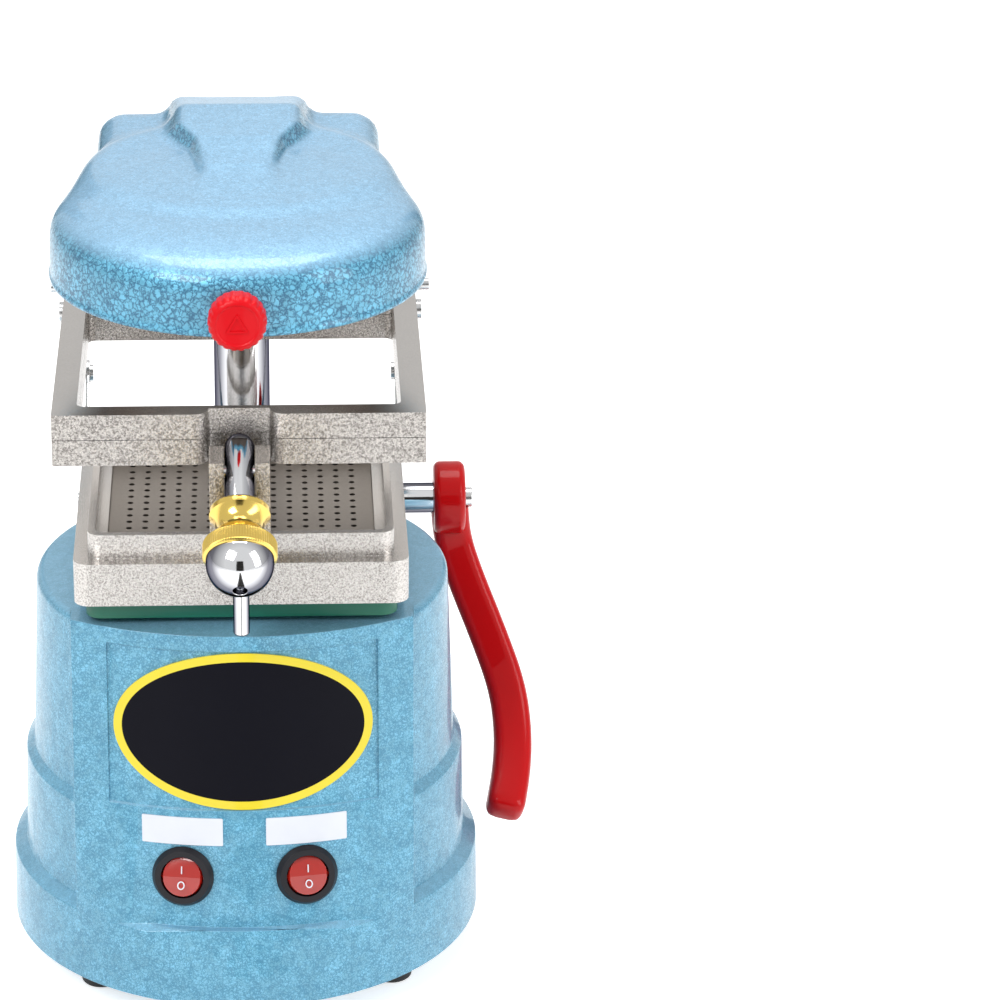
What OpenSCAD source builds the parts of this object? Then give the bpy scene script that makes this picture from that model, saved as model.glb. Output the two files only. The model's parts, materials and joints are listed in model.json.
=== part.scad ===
/* [Base casting] */
// Radius of the plinth at its bottom edge
plinth_r = 90; // [86:0.5:94]
// Height of the plinth's sloping top edge above the floor
plinth_top_z = 42; // [36:0.5:46]
// Radius of the middle tier at its bottom
middle_r = 84.7; // [82:0.1:86]
// Height of the step between the middle and the upper tier
middle_top_z = 83; // [76:0.5:90]
// Radius of the upper tier at its bottom
upper_r = 80.6; // [78:0.1:82]
// Radius of the upper tier under the deck
deck_r = 78; // [76:0.1:80]
// Height of the deck above the floor
deck_z = 152.5; // [148:0.5:158]
// Radius of the rounding round the deck
deck_round = 3; // [1:0.5:5]
// Thickness of the casting's deck
deck_t = 6.5; // [5:0.5:9]
// Radius of the hollow inside the base
cavity_r = 70; // [66:0.5:72]
// Distance from the axis of the base to its front face, at the deck
front_y = 66; // [65:0.5:67]
// How far the front face leans out over the height of the base
front_lean = 21.5; // [16:0.5:22]
// Radius of the front face's curve at the deck
front_r = 126.5; // [110:0.5:180]
// Width of the front panel
panel_w = 127; // [116:0.5:134]
// Width of the sunk field round the badge
field_w = 100; // [98:1:106]
// Depth of the sunk field
recess_d = 0.9; // [0.6:0.1:1.2]
// How far the plinth stands out in front of the panel
plinth_step = 3; // [1:0.5:5]
// Half width of the rear block that carries the shaft
rear_half_w = 59.5; // [58:0.5:60.5]
// Distance from the axis of the base to the outer corners of the rear block
rib_y = 75; // [72:0.5:78]
// Width of each rear rib
rib_w = 13; // [9:0.5:14]
// Depth of the panels between the rear ribs and the column housing
panel_depth = 4; // [2:0.5:5]
// Height of the lower edge of those panels above the floor
panel_z = 90; // [84:0.5:96]
// Distance from the axis of the base to the rear lip of the shaft trough
lip_y = 90; // [89:0.5:94]
// Radius of the rear column housing
bulge_r = 22.5; // [20:0.5:25]
// Height of the underside of the base above the floor
foot_h = 11; // [8:0.5:14]
// Diameter of a rubber foot
foot_d = 15.5; // [12:0.5:18]

/* [Column and head] */
// Diameter of the chrome column
column_d = 22; // [20:0.5:24]
// Diameter of the wire bore in the column
column_bore_d = 12; // [8:0.5:14]
// Distance of the column behind the axis of the base
column_y = 98; // [97:0.5:100]
// Depth of the column in its socket
column_seat = 50; // [35:1:60]
// Height of the top of the column above the floor
column_top_z = 292; // [289:0.5:294]
// Height of the head's rim above the floor
head_z = 272.5; // [268:0.5:276]
// Radius of the heater hood at its lip
hood_r = 70.5; // [68:0.5:73]
// Height of the heater hood over its ridge
hood_h = 37.5; // [35:0.5:40]
// Height of the hood's dome
dome_h = 29.3; // [27:0.1:31]
// Wall of the heater hood
hood_wall = 2.8; // [2:0.1:3.5]
// Distance of the hood's axis in front of the axis of the base
hood_y = -3.6; // [-6:0.2:0]
// Width of the hood's rear block
hood_block_w = 109; // [100:1:116]
// Distance from the axis of the base to the rear face of the hood
hood_rear_y = 118; // [116:0.5:122]
// Diameter of the collar that carries the head
collar_d = 29.5; // [27:0.5:32]
// Thickness of that collar
collar_h = 3.6; // [3:0.1:5]
// Diameter of the red knob on the hood
knob_d = 21; // [18:0.5:24]
// Height of the knob's centre above the hood's rim
knob_up = 9; // [9:0.5:14]

/* [Clamping frames] */
// Width of both frames
frame_w = 135; // [133:0.5:138]
// Thickness of the lower frame
lower_t = 9.8; // [9:0.1:11]
// Thickness of the upper frame
upper_t = 9.6; // [8:0.1:11]
// Height of the lower frame's underside above the floor, raised
lower_z = 219.8; // [216:0.2:224]
// Half of the window's side
window_half = 58.6; // [58:0.1:59.5]
// Distance of the frames' front face in front of the axis of the base
frame_front_y = 63.1; // [62:0.1:65]
// Distance from the axis of the base to the rear face of the lower frame
frame_rear_y = 113; // [112:0.5:116]
// Height of the rear block of the lower frame
block_h = 30.2; // [26:0.2:32]
// How far the clamp boss stands out of the rear face
boss_out = 6.5; // [4:0.5:9]
// Width of the notch in the front of the frames
notch_w = 22.6; // [20:0.2:24]
// Depth of that notch
notch_d = 5.9; // [5:0.1:6.5]
// Travel of the frames from raised down to the tray
frame_travel = 41; // [36:0.5:41.2]
// Distance of the upper frame's hinge pins behind the axis of the base
hinge_y = 83; // [82:0.5:84]
// Gap between the closed frames
frame_gap = 0.2; // [0.1:0.05:0.4]

/* [Forming tray] */
// Half width of the tray's lower step
tray_half = 61.6; // [60:0.1:62.5]
// Half width of the tray's rim
rim_half = 56.3; // [55:0.1:57]
// Distance of the tray's centre behind the axis of the base
tray_y = 4.1; // [2:0.1:6]
// Height of the tray's underside above the floor
tray_z = 161.5; // [160:0.1:163]
// Height of the tray's step above its underside
tray_step_h = 16.8; // [14:0.2:17.2]
// Height of the rim above the step
rim_h = 9.4; // [7:0.2:11]
// Wall of the rim
rim_wall = 2.8; // [2:0.1:3.5]
// Thickness of the green gasket
gasket_t = 6.7; // [5:0.1:7.5]
// Half width of the gasket
gasket_half = 57.5; // [54:0.5:60]
// Half width of the perforated plate
plate_half = 49.5; // [48:0.1:50.5]
// Thickness of the perforated plate
plate_t = 2.5; // [2:0.1:3]
// Distance between two holes of the plate
hole_pitch = 6; // [5.5:0.1:6.6]
// Diameter of a hole of the plate
hole_d = 2.2; // [1.6:0.1:2.6]
// Number of holes in a row
hole_rows = 15; // [11:2:15]

/* [Lever linkage] */
// Diameter of the cross shaft
shaft_d = 12; // [11:0.5:12.5]
// Distance of the cross shaft behind the axis of the base
shaft_y = 79; // [78:0.2:79.4]
// Height of the cross shaft above the floor
shaft_z = 145.5; // [144.5:0.1:146.5]
// Thickness of the crank plates and the links
plate_strip_t = 1.6; // [1.2:0.1:2]
// Distance of the knee pins behind the cross shaft
knee_dy = 44.8; // [42:0.1:48]
// Height of the knee pins above the cross shaft
knee_dz = 36.8; // [34:0.1:40]
// Distance of the links' upper pins behind the cross shaft
link_dy = 2; // [0:0.1:3]
// Height of the links' upper pins above the lower frame's underside
link_up = 5.1; // [4.6:0.1:5.4]
// Distance of the crank plates from the middle of the machine
crank_x = 62; // [61.6:0.1:62.4]
// Thickness of the lever's hub
hub_t = 12.5; // [10:0.5:15]
// Diameter of the lever's hub
hub_d = 29; // [26:0.5:32]
// Inner face of the lever's hub, from the middle of the machine
hub_x = 75.5; // [74.5:0.5:80]
// Width of the lever's arm
arm_w = 15; // [12:0.5:17]
// Thickness of the lever's arm
arm_t = 13; // [10:0.5:15]

/* [Swing bolt] */
// Distance of the bolt's pivot in front of the frames' front face
pivot_out = 11.4; // [11:0.1:13]
// Height of the pivot above the lower frame's underside
pivot_up = 1.7; // [0.5:0.1:3]
// Angle at which the bolt hangs below the horizontal
bolt_drop = 33; // [20:1:42]
// Diameter of the bolt's shank
bolt_d = 10.7; // [9:0.1:11]
// Distance from the pivot to the centre of the steel ball
ball_reach = 38.8; // [37:0.2:44]
// Diameter of the steel ball
ball_d = 24.5; // [22:0.5:26]
// Length of the brass nut
nut_l = 21.3; // [18:0.1:22]
// Diameter of the nut's knurled flange
nut_flange_d = 26.8; // [24:0.2:28]
// Diameter of the hanging guide rod
rod_d = 6; // [5:0.5:7]
// Height of the rod's lower end above the floor
rod_end_z = 158.5; // [157:0.5:161]

/* [Front fittings] */
// Distance between the centres of the two switches
switch_gap = 46; // [40:1:54]
// Height of the switches above the floor
switch_z = 60.5; // [56:0.5:66]
// Diameter of a switch's bezel
bezel_d = 23.3; // [21:0.1:25]
// Diameter of the hole for a switch
switch_hole_d = 20.2; // [18:0.1:20.6]
// Diameter of the rocker
rocker_d = 15.4; // [13:0.1:16.4]
// Travel of the rocker in degrees
rocker_travel = 20; // [14:1:24]
// Width of the oval badge
badge_w = 96; // [80:1:98]
// Height of the oval badge
badge_h = 59.5; // [50:0.5:62]
// Height of the badge's centre above the floor
badge_z = 116.2; // [115:0.1:117]
// Width of a switch label
label_w = 30; // [24:1:34]
// Height of a switch label
label_h = 10.4; // [8:0.1:10.8]
// Height of the labels' centre above the floor
label_z = 78; // [77.6:0.1:78.6]

/* [Vacuum motor] */
// Diameter of the fan case
fan_d = 110; // [100:1:112]
// Height of the fan case
fan_h = 42; // [36:1:46]
// Diameter of the motor
motor_d = 84; // [70:1:88]
// Height of the motor
motor_h = 54; // [44:1:58]
// Diameter of the motor shaft
motor_shaft_d = 8; // [6:0.5:10]
// Number of fan blades
blade_count = 8; // [6:1:10]

/* [Mains cord] */
// Diameter of the cord
cord_d = 6; // [5:0.5:7]
// Turns in the coil
coil_turns = 5; // [4:1:6]
// Mean radius of the outermost turn
coil_out_r = 41; // [39:0.5:44]

/* [Clearances] */
// Radial clearance of a running fit
run_fit = 0.05; // [0.03:0.01:0.08]
// Gap between pieces that pass each other
pass_gap = 0.3; // [0.2:0.05:0.5]
// Extra room round the knee pins
knee_play = 1.3; // [1.2:0.05:1.5]

/* [Hidden] */
$fn = 72;

// A small overlap that lets a cut run past a face
eps = 0.5;

// The lever's path, hub to grip, as places from the middle of the machine
LEVER_PATH = [[82, 80, 142], [83, 80, 128], [88, 76, 113], [97, 67, 92], [104.5, 57, 73], [106.5, 46, 59],
  [105.5, 33, 48], [102, 17, 38]];
lever_reach = max([for (p = lever_line()) p[0]]) + arm_w / 2;

// The pivot of the swing bolt and the centre of its ball
pivot_y = -frame_front_y - pivot_out;
pivot_z = lower_z + pivot_up;
ball_y = pivot_y - ball_reach * cos(bolt_drop);
nut_face = ball_reach - 1.3;

// The knee pins and the upper pins of the links
knee_y = shaft_y + knee_dy;
knee_z = shaft_z + knee_dz;
link_y = shaft_y + link_dy;
link_z = lower_z + link_up;
link_x = crank_x + 2.2;
crank_end_r = 5.5;
crank_hub_r = 9;
link_end_r = 4.3;
knee_pin_r = 2.2;
link_pin_r = 2.4;

// The middle of the machine's outline, where the part's own origin lies on the floor
mid_x = (lever_reach - plinth_r) / 2;
mid_y = (ball_y - ball_d / 2 + knee_y + crank_end_r) / 2;

// Levels of the base
cavity_top = deck_z - deck_t;
cover_t = 3;
motor_y = -3;
socket_z = deck_z - column_seat;
trough_z = shaft_z - shaft_d / 2 - 1;
lip_t = 3.2;
lip_top_z = shaft_z - 3;
flange_z = shaft_z - 14.5;
ear_t = 6;
window_front_y = 61;

// Levels of the tray
gasket_z = tray_z - gasket_t;
step_z = tray_z + tray_step_h;
rim_z = step_z + rim_h;
plate_z = tray_z + 12.5;

// Levels of the frames
lower_top = lower_z + lower_t;
upper_z = lower_top + frame_gap;
upper_top = upper_z + upper_t;
hinge_z = upper_z + upper_t / 2;
window_mid_y = tray_y;
arm_inner = frame_w / 2 - 11;

// The plane of the front face at a height z above the floor
function lean_r(z) = front_r + front_lean * (deck_z - z) / (deck_z - foot_h);
function front_at(x, z) = front_r - front_y - sqrt(pow(lean_r(z), 2) - x * x);
lean_angle = atan(front_lean / (deck_z - foot_h));

module placed() translate([-mid_x, -mid_y, 0]) children();
module in_base() placed() translate([0, motor_y, 0]) children();
module sides() for (s = [-1, 1]) scale([s, 1, 1]) children();
module along_x(x0, x1, r) translate([x0, 0, 0]) rotate([0, 90, 0]) cylinder(r = r, h = x1 - x0);
module along_y(y0, y1, r) translate([0, y0, 0]) rotate([-90, 0, 0]) cylinder(r = r, h = y1 - y0);
module box(x0, x1, y0, y1, z0, z1) translate([x0, y0, z0]) cube([x1 - x0, y1 - y0, z1 - z0]);

// A plate with rounded upright corners, from its half sizes
module pad(hx, hy, r, z0, z1) translate([0, 0, z0]) linear_extrude(z1 - z0) rounded(hx, hy, r);
module rounded(hx, hy, r) {
  square([2 * hx - 2 * r, 2 * hy], center = true);
  square([2 * hx, 2 * hy - 2 * r], center = true);
  for (x = [-1, 1], y = [-1, 1]) translate([x * (hx - r), y * (hy - r)]) circle(r);
}

// Space behind the leaning front face, grown by g
module behind_front(g, z0, z1)
  translate([0, front_r - front_y, z0]) cylinder(r1 = lean_r(z0) + g, r2 = lean_r(z1) + g, h = z1 - z0, $fn = 180);

/* Base */
module tiers()
  rotate_extrude($fn = 180) polygon(concat(
    [[0, foot_h], [plinth_r, foot_h], [plinth_r - 0.5, plinth_top_z - 3], [middle_r, plinth_top_z],
     [middle_r - 0.9, middle_top_z - 3], [upper_r, middle_top_z], [deck_r, deck_z - deck_round]],
    [for (a = [15:15:90]) [deck_r - deck_round + deck_round * cos(a), deck_z - deck_round + deck_round * sin(a)]],
    [[0, deck_z]]));

// Plan of the rear block: two slanting faces that meet the column housing, set out by g
slant = (column_y + 1 - rib_y) / (rear_half_w - 18);
module rear_plan(g) polygon([[-rear_half_w, 20], [-rear_half_w, rib_y + g - (g > 0 ? 12 : 0)], [-18 - g / 3, column_y + 1 + g],
  [18 + g / 3, column_y + 1 + g], [rear_half_w, rib_y + g - (g > 0 ? 12 : 0)], [rear_half_w, 20]]);
module housing_r(z) translate([0, column_y, z]) cylinder(r = bulge_r, h = deck_z - z, $fn = 96);

// The panel sunk between a rib and the column housing
module rear_panel() {
  x1 = rear_half_w - rib_w;
  y1 = rib_y + rib_w * slant - panel_depth;
  translate([0, 0, panel_z]) linear_extrude(flange_z - panel_z)
    polygon([[bulge_r * 0.8, y1 + (x1 - bulge_r * 0.8) * slant], [x1, y1], [x1 + 3, y1 + 8], [x1 + 3, 130], [bulge_r * 0.8, 130]]);
}

module base_outer() {
  intersection() {
    tiers();
    union() {
      behind_front(plinth_step, foot_h, plinth_top_z - 1);
      behind_front(0, foot_h, deck_z);
    }
  }
  intersection() {
    behind_front(0, foot_h, deck_z);
    box(-panel_w / 2, panel_w / 2, -plinth_r, 0, plinth_top_z - 4, deck_z);
    translate([0, 0, foot_h]) cylinder(r = plinth_r - 0.5, h = deck_z - foot_h, $fn = 180);
  }
  translate([0, 0, foot_h]) linear_extrude(plinth_top_z - 2 - foot_h) rear_plan(4);
  difference() {
    translate([0, 0, foot_h]) linear_extrude(lip_top_z - foot_h) rear_plan(0);
    sides() rear_panel();
  }
  box(-rear_half_w, rear_half_w, 30, lip_y, flange_z, deck_z);
  housing_r(foot_h);
  box(-bulge_r, bulge_r, 50, column_y, foot_h, deck_z);
}

// Open space over the shaft, between an ear and the column housing
module shaft_window() {
  box(bulge_r, rear_half_w - ear_t, window_front_y, lip_y - lip_t, trough_z, deck_z + eps);
  box(bulge_r, rear_half_w - ear_t, lip_y - lip_t - eps, 130, lip_top_z, deck_z + eps);
}

module switch_place(s) {
  x = s * switch_gap / 2;
  translate([x, front_at(x, switch_z), switch_z])
    rotate([90 - lean_angle, 0, asin(x / lean_r(switch_z))]) children();
}

module cover_holes() for (a = [45:90:315]) rotate([0, 0, a]) translate([cavity_r - 4, 0, 0]) children();
module tray_bolts() for (x = [-1, 1], y = [-1, 1]) translate([x * 42, tray_y + y * 42, 0]) children();
module foot_places() {
  for (x = [-55.4, 55.4], y = [-47, 36.7]) translate([x, y, 0]) children();
  translate([0, column_y - 10, 0]) children();
}

module base_housing() placed() color([0.42, 0.66, 0.80]) difference() {
  base_outer();
  intersection() {
    translate([0, 0, foot_h - eps]) cylinder(r = cavity_r, h = cavity_top - foot_h + eps);
    box(-100, 100, -front_y + 6, window_front_y - 6, foot_h - eps, deck_z);
  }
  translate([0, 0, foot_h - eps]) linear_extrude(socket_z - 24 - foot_h) polygon([[-50, 30], [-50, rib_y - 11],
    [-28, rib_y + 1], [28, rib_y + 1], [50, rib_y - 11], [50, 30]]);
  sides() shaft_window();
  front_field();
  translate([0, shaft_y, shaft_z]) along_x(-rear_half_w - eps, rear_half_w + eps, shaft_d / 2 + run_fit);
  translate([0, shaft_y, shaft_z]) sides() along_x(rear_half_w - ear_t - eps, rear_half_w + eps, shaft_d / 2 + 2);
  translate([0, column_y, socket_z]) cylinder(d = column_d, h = column_seat + eps);
  translate([0, column_y, socket_z - 20]) cylinder(r = 3.5, h = 21);
  translate([0, 0, socket_z - 16.5]) along_y(window_front_y - 8, column_y, 3.5);
  translate([0, 0, socket_z + 12]) along_y(column_y, column_y + 40, 3);
  translate([0, tray_y, cavity_top - eps]) cylinder(r = 9.5, h = deck_t + 2 * eps);
  tray_bolts() translate([0, 0, deck_z - 5]) cylinder(r = 2, h = 5 + eps);
  for (s = [-1, 1]) switch_place(s) translate([0, 0, -24]) cylinder(d = switch_hole_d, h = 34);
  box(35.4, 46.6, 45, plinth_r + eps, foot_h - eps, 23);
  translate([-40, 45, foot_h]) along_y(0, 60, 4);
}

// A shallow sunk field in the upper part of the front panel, round the badge
module front_field() difference() {
  box(-field_w / 2, field_w / 2, -plinth_r - 10, 0, badge_z - badge_h / 2 - 0.3, deck_z - 6);
  behind_front(-recess_d, foot_h, deck_z);
}

// Outline of the bottom cover, held clear of the casting by the gap g
module cover_shape(g, z0, z1) intersection() {
  translate([0, 0, z0]) cylinder(r = cavity_r - g, h = z1 - z0);
  box(-100, 100, -front_y + 6 + g, window_front_y - 6 - g, z0, z1);
}

module bottom_cover() placed() color([0.2, 0.2, 0.22]) difference() {
  cover_shape(pass_gap / 3, foot_h, foot_h + cover_t);
  cover_holes() translate([-4, 0, foot_h - eps]) cylinder(r = 2, h = cover_t + 2 * eps);
  for (i = [-4:4]) translate([i * 7, 0, 0]) box(-1.5, 1.5, -22, 22, foot_h - eps, foot_h + cover_t + eps);
  box(35.4, 46.6, 30, 80, foot_h - eps, 23);
}

module rubber_feet() placed() color([0.06, 0.06, 0.06]) foot_places()
  rotate_extrude() polygon([[2, 0], [foot_d / 2 - 1, 0], [foot_d / 2, 1], [foot_d / 2, foot_h], [0, foot_h],
    [0, 4], [2, 4]]);

module cover_screws() placed() color([0.7, 0.7, 0.72]) cover_holes() translate([-4, 0, 0]) {
  translate([0, 0, foot_h - 2]) cylinder(r = 3.4, h = 2);
  translate([0, 0, foot_h - 2]) cylinder(r = 2, h = 2 + cover_t);
}

/* Forming tray */
module tray_gasket() placed() color([0.05, 0.32, 0.22]) difference() {
  union() {
    translate([0, tray_y, 0]) pad(gasket_half, gasket_half, 6, gasket_z, tray_z);
    translate([0, tray_y, 0]) pad(gasket_half - 5, gasket_half - 5, 5, deck_z, gasket_z);
  }
  translate([0, tray_y, deck_z - eps]) cylinder(r = 12, h = 20);
  tray_bolts() translate([0, 0, deck_z - eps]) cylinder(r = 2, h = 20);
}

module tray_body() placed() color([0.72, 0.70, 0.68]) difference() {
  translate([0, tray_y, 0]) {
    pad(tray_half, tray_half, 6, tray_z, step_z);
    pad(rim_half, rim_half, 5, step_z - eps, rim_z);
  }
  translate([0, tray_y, 0]) {
    pad(rim_half - rim_wall, rim_half - rim_wall, 4, plate_z + plate_t + 2.5, rim_z + eps);
    pad(plate_half + run_fit * 2, plate_half + run_fit * 2, 3, plate_z, rim_z);
    pad(plate_half - 4, plate_half - 4, 3, tray_z + 4, rim_z);
    translate([0, 0, tray_z - eps]) cylinder(r = 9.5, h = 10);
  }
  tray_bolts() translate([0, 0, tray_z - eps]) cylinder(r = 2, h = 10);
}

module plate_holes() for (i = [0:hole_rows - 1], j = [0:hole_rows - 1])
  translate([(i - (hole_rows - 1) / 2) * hole_pitch, (j - (hole_rows - 1) / 2) * hole_pitch, 0]) children();

module perforated_plate() placed() color([0.60, 0.58, 0.55]) translate([0, tray_y, plate_z]) difference() {
  pad(plate_half, plate_half, 3, 0, plate_t);
  plate_holes() translate([0, 0, -eps]) cylinder(d = hole_d, h = plate_t + 2 * eps, $fn = 24);
}

module tray_screws() placed() color([0.75, 0.75, 0.76]) tray_bolts() {
  translate([0, 0, deck_z - 5]) cylinder(r = 2, h = tray_z + 4 - deck_z + 5);
  translate([0, 0, tray_z + 4]) cylinder(r = 3.3, h = 2.6);
}

/* Column */
module guide_column() placed() color([0.82, 0.83, 0.85]) translate([0, column_y, 0]) difference() {
  translate([0, 0, socket_z]) cylinder(d = column_d, h = column_top_z - socket_z);
  translate([0, 0, socket_z - eps]) cylinder(d = column_bore_d, h = column_top_z - socket_z + 2 * eps);
  translate([0, 0, head_z - 17]) along_y(-20, 20, 3.3);
  translate([0, 0, socket_z + 12]) along_y(column_d / 2 - 2, 20, 3);
}

module support_collar() placed() color([0.72, 0.72, 0.72]) translate([0, column_y, head_z - collar_h]) difference() {
  cylinder(d = collar_d, h = collar_h);
  translate([0, 0, -eps]) cylinder(d = column_d, h = collar_h + 2 * eps);
}

module column_set_screw() placed() color([0.2, 0.2, 0.2]) translate([0, column_y, socket_z + 12]) difference() {
  along_y(column_d / 2 - 2, bulge_r - 1.5, 3);
  along_y(bulge_r - 4, bulge_r, 1.5);
}

module shaft_bushes() placed() color([0.72, 0.58, 0.34]) translate([0, shaft_y, shaft_z]) sides() difference() {
  along_x(rear_half_w - ear_t, rear_half_w + 0.6, shaft_d / 2 + 2);
  along_x(rear_half_w - ear_t - eps, rear_half_w + 1, shaft_d / 2 + run_fit);
}

/* Plates on the casting */
// A thin skin that follows the leaning front face, from g0 to g1 outside it
module front_skin(g0, g1, z0, z1) difference() {
  behind_front(g1, z0, z1);
  behind_front(g0, z0 - 0.01, z1 + 0.01);
}
module oval_bar(w, h) translate([0, 0, badge_z]) rotate([90, 0, 0]) linear_extrude(120)
  scale([w / 2, h / 2]) circle(1, $fn = 96);

module badge_plate() placed() color([0.07, 0.07, 0.08]) intersection() {
  front_skin(-recess_d, 0.6 - recess_d, badge_z - badge_h / 2 - 2, badge_z + badge_h / 2 + 2);
  oval_bar(badge_w - 6, badge_h - 6);
}

module badge_border() placed() color([0.93, 0.82, 0.12]) difference() {
  intersection() {
    front_skin(-recess_d, 0.6 - recess_d, badge_z - badge_h / 2 - 2, badge_z + badge_h / 2 + 2);
    oval_bar(badge_w, badge_h);
  }
  oval_bar(badge_w - 6, badge_h - 6);
}

module switch_labels() placed() color([0.90, 0.91, 0.94]) intersection() {
  front_skin(0, 0.4, label_z - label_h / 2 - 1, label_z + label_h / 2 + 1);
  for (s = [-1, 1]) translate([s * switch_gap / 2, -60, label_z]) cube([label_w, 60, label_h], center = true);
}

module rear_plate() placed() color([0.05, 0.05, 0.06])
  translate([41, rib_y + (rear_half_w - 41) * slant, 66]) rotate([0, 0, -atan(slant)])
    rotate([-90, 0, 0]) linear_extrude(0.8) rounded(20, 19.5, 2.5);

/* Switches */
module switch_bodies() placed() color([0.05, 0.05, 0.05]) for (s = [-1, 1]) switch_place(s) difference() {
  union() {
    translate([0, 0, 0.3]) cylinder(r1 = bezel_d / 2, r2 = bezel_d / 2 - 1.4, h = 2.2);
    translate([0, 0, -15]) cylinder(d = switch_hole_d - 0.2, h = 15.4);
  }
  sphere(r = rocker_d / 2 + pass_gap);
  cylinder(r = rocker_d / 2 + pass_gap, h = 5);
  along_x(-rocker_d / 2 - 1, rocker_d / 2 + 1, 1.2 + run_fit);
}

// A rocker, its two faces at half the travel to either side; rest presses the lower half in
module rocker(s) switch_place(s) rotate([-rocker_travel / 2, 0, 0]) {
  intersection() {
    sphere(r = rocker_d / 2);
    rotate([rocker_travel / 2, 0, 0]) box(-9, 9, -9, 9, -3, 3.4);
    rotate([-rocker_travel / 2, 0, 0]) box(-9, 9, -9, 9, -3, 3.4);
  }
  along_x(-rocker_d / 2 - 0.8, rocker_d / 2 + 0.8, 1.2);
}
module vacuum_rocker() placed() color([0.85, 0.08, 0.06]) rocker(-1);
module heater_rocker() placed() color([0.85, 0.08, 0.06]) rocker(1);

/* Vacuum motor */
fan_top = cavity_top - 3;
fan_z = fan_top - fan_h;
motor_z = fan_z - motor_h;
module ring(r0, r1, z0, z1) translate([0, 0, z0]) difference() {
  cylinder(r = r1, h = z1 - z0);
  translate([0, 0, -eps]) cylinder(r = r0, h = z1 - z0 + 2 * eps);
}

module fan_case() in_base() color([0.70, 0.71, 0.73]) {
  ring(16, fan_d / 2, fan_top - 2, fan_top);
  ring(fan_d / 2 - 2, fan_d / 2, fan_z, fan_top - 2);
  ring(11, fan_d / 2 - 2, fan_z, fan_z + 2);
  ring(11, 14, fan_z + 2, fan_z + 7);
}

module motor_stator() in_base() color([0.45, 0.45, 0.47]) {
  ring(motor_d / 2 - 14, motor_d / 2, motor_z + 8, fan_z);
  for (a = [0:60:300]) rotate([0, 0, a]) ring_segment();
}
module ring_segment() difference() {
  box(motor_d / 2 - 15, motor_d / 2 - 13, -6, 6, motor_z + 14, fan_z - 8);
  cylinder(r = motor_d / 2 - 15, h = 200);
}

module motor_end_cap() in_base() color([0.16, 0.16, 0.17]) {
  ring(30, motor_d / 2, motor_z + 3, motor_z + 8);
  ring(14, motor_d / 2, motor_z, motor_z + 3);
  ring(11, 14, motor_z, motor_z + 8);
}

module motor_bearings() in_base() color([0.75, 0.76, 0.78]) {
  ring(motor_shaft_d / 2 + run_fit, 11, motor_z + 1, motor_z + 8);
  ring(motor_shaft_d / 2 + run_fit, 11, fan_z, fan_z + 7);
}

module motor_cradle() in_base() color([0.55, 0.56, 0.58]) {
  ring(motor_d / 2 + 0.5, fan_d / 2, fan_z - 3, fan_z);
  for (a = [30, 150, 210, 330]) rotate([0, 0, a])
    translate([motor_d / 2 + 6.5, 0, foot_h + cover_t]) cylinder(r = 4, h = fan_z - 3 - foot_h - cover_t);
}

module inlet_seal() in_base() color([0.08, 0.08, 0.08]) ring(17, 25, fan_top, cavity_top);

module motor_rotor() in_base() color([0.62, 0.60, 0.56]) {
  translate([0, 0, motor_z + 2]) cylinder(d = motor_shaft_d, h = fan_z + 28 - motor_z - 2);
  translate([0, 0, motor_z + 14]) cylinder(r = motor_d / 2 - 16, h = motor_h - 22);
  translate([0, 0, motor_z + 9]) cylinder(r = 10, h = 4);
}

module fan_impeller() in_base() color([0.78, 0.79, 0.80]) {
  ring(motor_shaft_d / 2, 9, fan_z + 9, fan_z + 27);
  ring(9, fan_d / 2 - 7, fan_z + 10, fan_z + 12);
  ring(18, fan_d / 2 - 7, fan_z + 27, fan_z + 29);
  for (i = [0:blade_count - 1]) rotate([0, 0, i * 360 / blade_count]) translate([20, 0, 0]) rotate([0, 0, 35])
    box(0, 27, -0.8, 0.8, fan_z + 12, fan_z + 27);
}

module terminal_block() placed() color([0.85, 0.84, 0.78]) difference() {
  box(-16, 16, window_front_y - 6 - 9, window_front_y - 6, socket_z - 32, socket_z - 20.5);
  for (x = [-12:8:12]) translate([x, window_front_y - 10.5, socket_z - 24]) cylinder(r = 1.6, h = 6);
}

// The lead of the heater, from the terminal block through the casting and up the column
module heater_lead() placed() color([0.12, 0.12, 0.12]) {
  translate([0, column_y, socket_z - 19.6]) cylinder(r = 2.6, h = column_top_z - socket_z + 20.6);
  translate([0, 0, socket_z - 16.5]) along_y(window_front_y - 6, column_y, 2.3);
}

module cord_gland() placed() color([0.06, 0.06, 0.06]) translate([41, 0, 16.5]) difference() {
  union() {
    box(-5.5, 5.5, 78, 83, -5.4, 6.4);
    translate([0, 83, 0]) rotate([-90, 0, 0]) cylinder(r1 = 5, r2 = 4, h = gland_y - 83);
  }
  along_y(70, gland_y + eps, cord_d / 2);
}

/* Lever and linkage */
module cross_shaft() placed() color([0.80, 0.81, 0.83]) translate([0, shaft_y, shaft_z])
  along_x(-crank_x - 1.2, hub_x + hub_t, shaft_d / 2);

// The lever's centre line: the chosen points, with each corner cut twice
function cut_once(p) = concat([p[0]],
  [for (i = [0:len(p) - 2]) each [p[i] * 0.75 + p[i + 1] * 0.25, p[i] * 0.25 + p[i + 1] * 0.75]], [p[len(p) - 1]]);
function lever_line() = cut_once(cut_once(LEVER_PATH));
function unit(v) = v / norm(v);
function tangent(p, i) = unit(p[min(i + 1, len(p) - 1)] - p[max(i - 1, 0)]);
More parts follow.
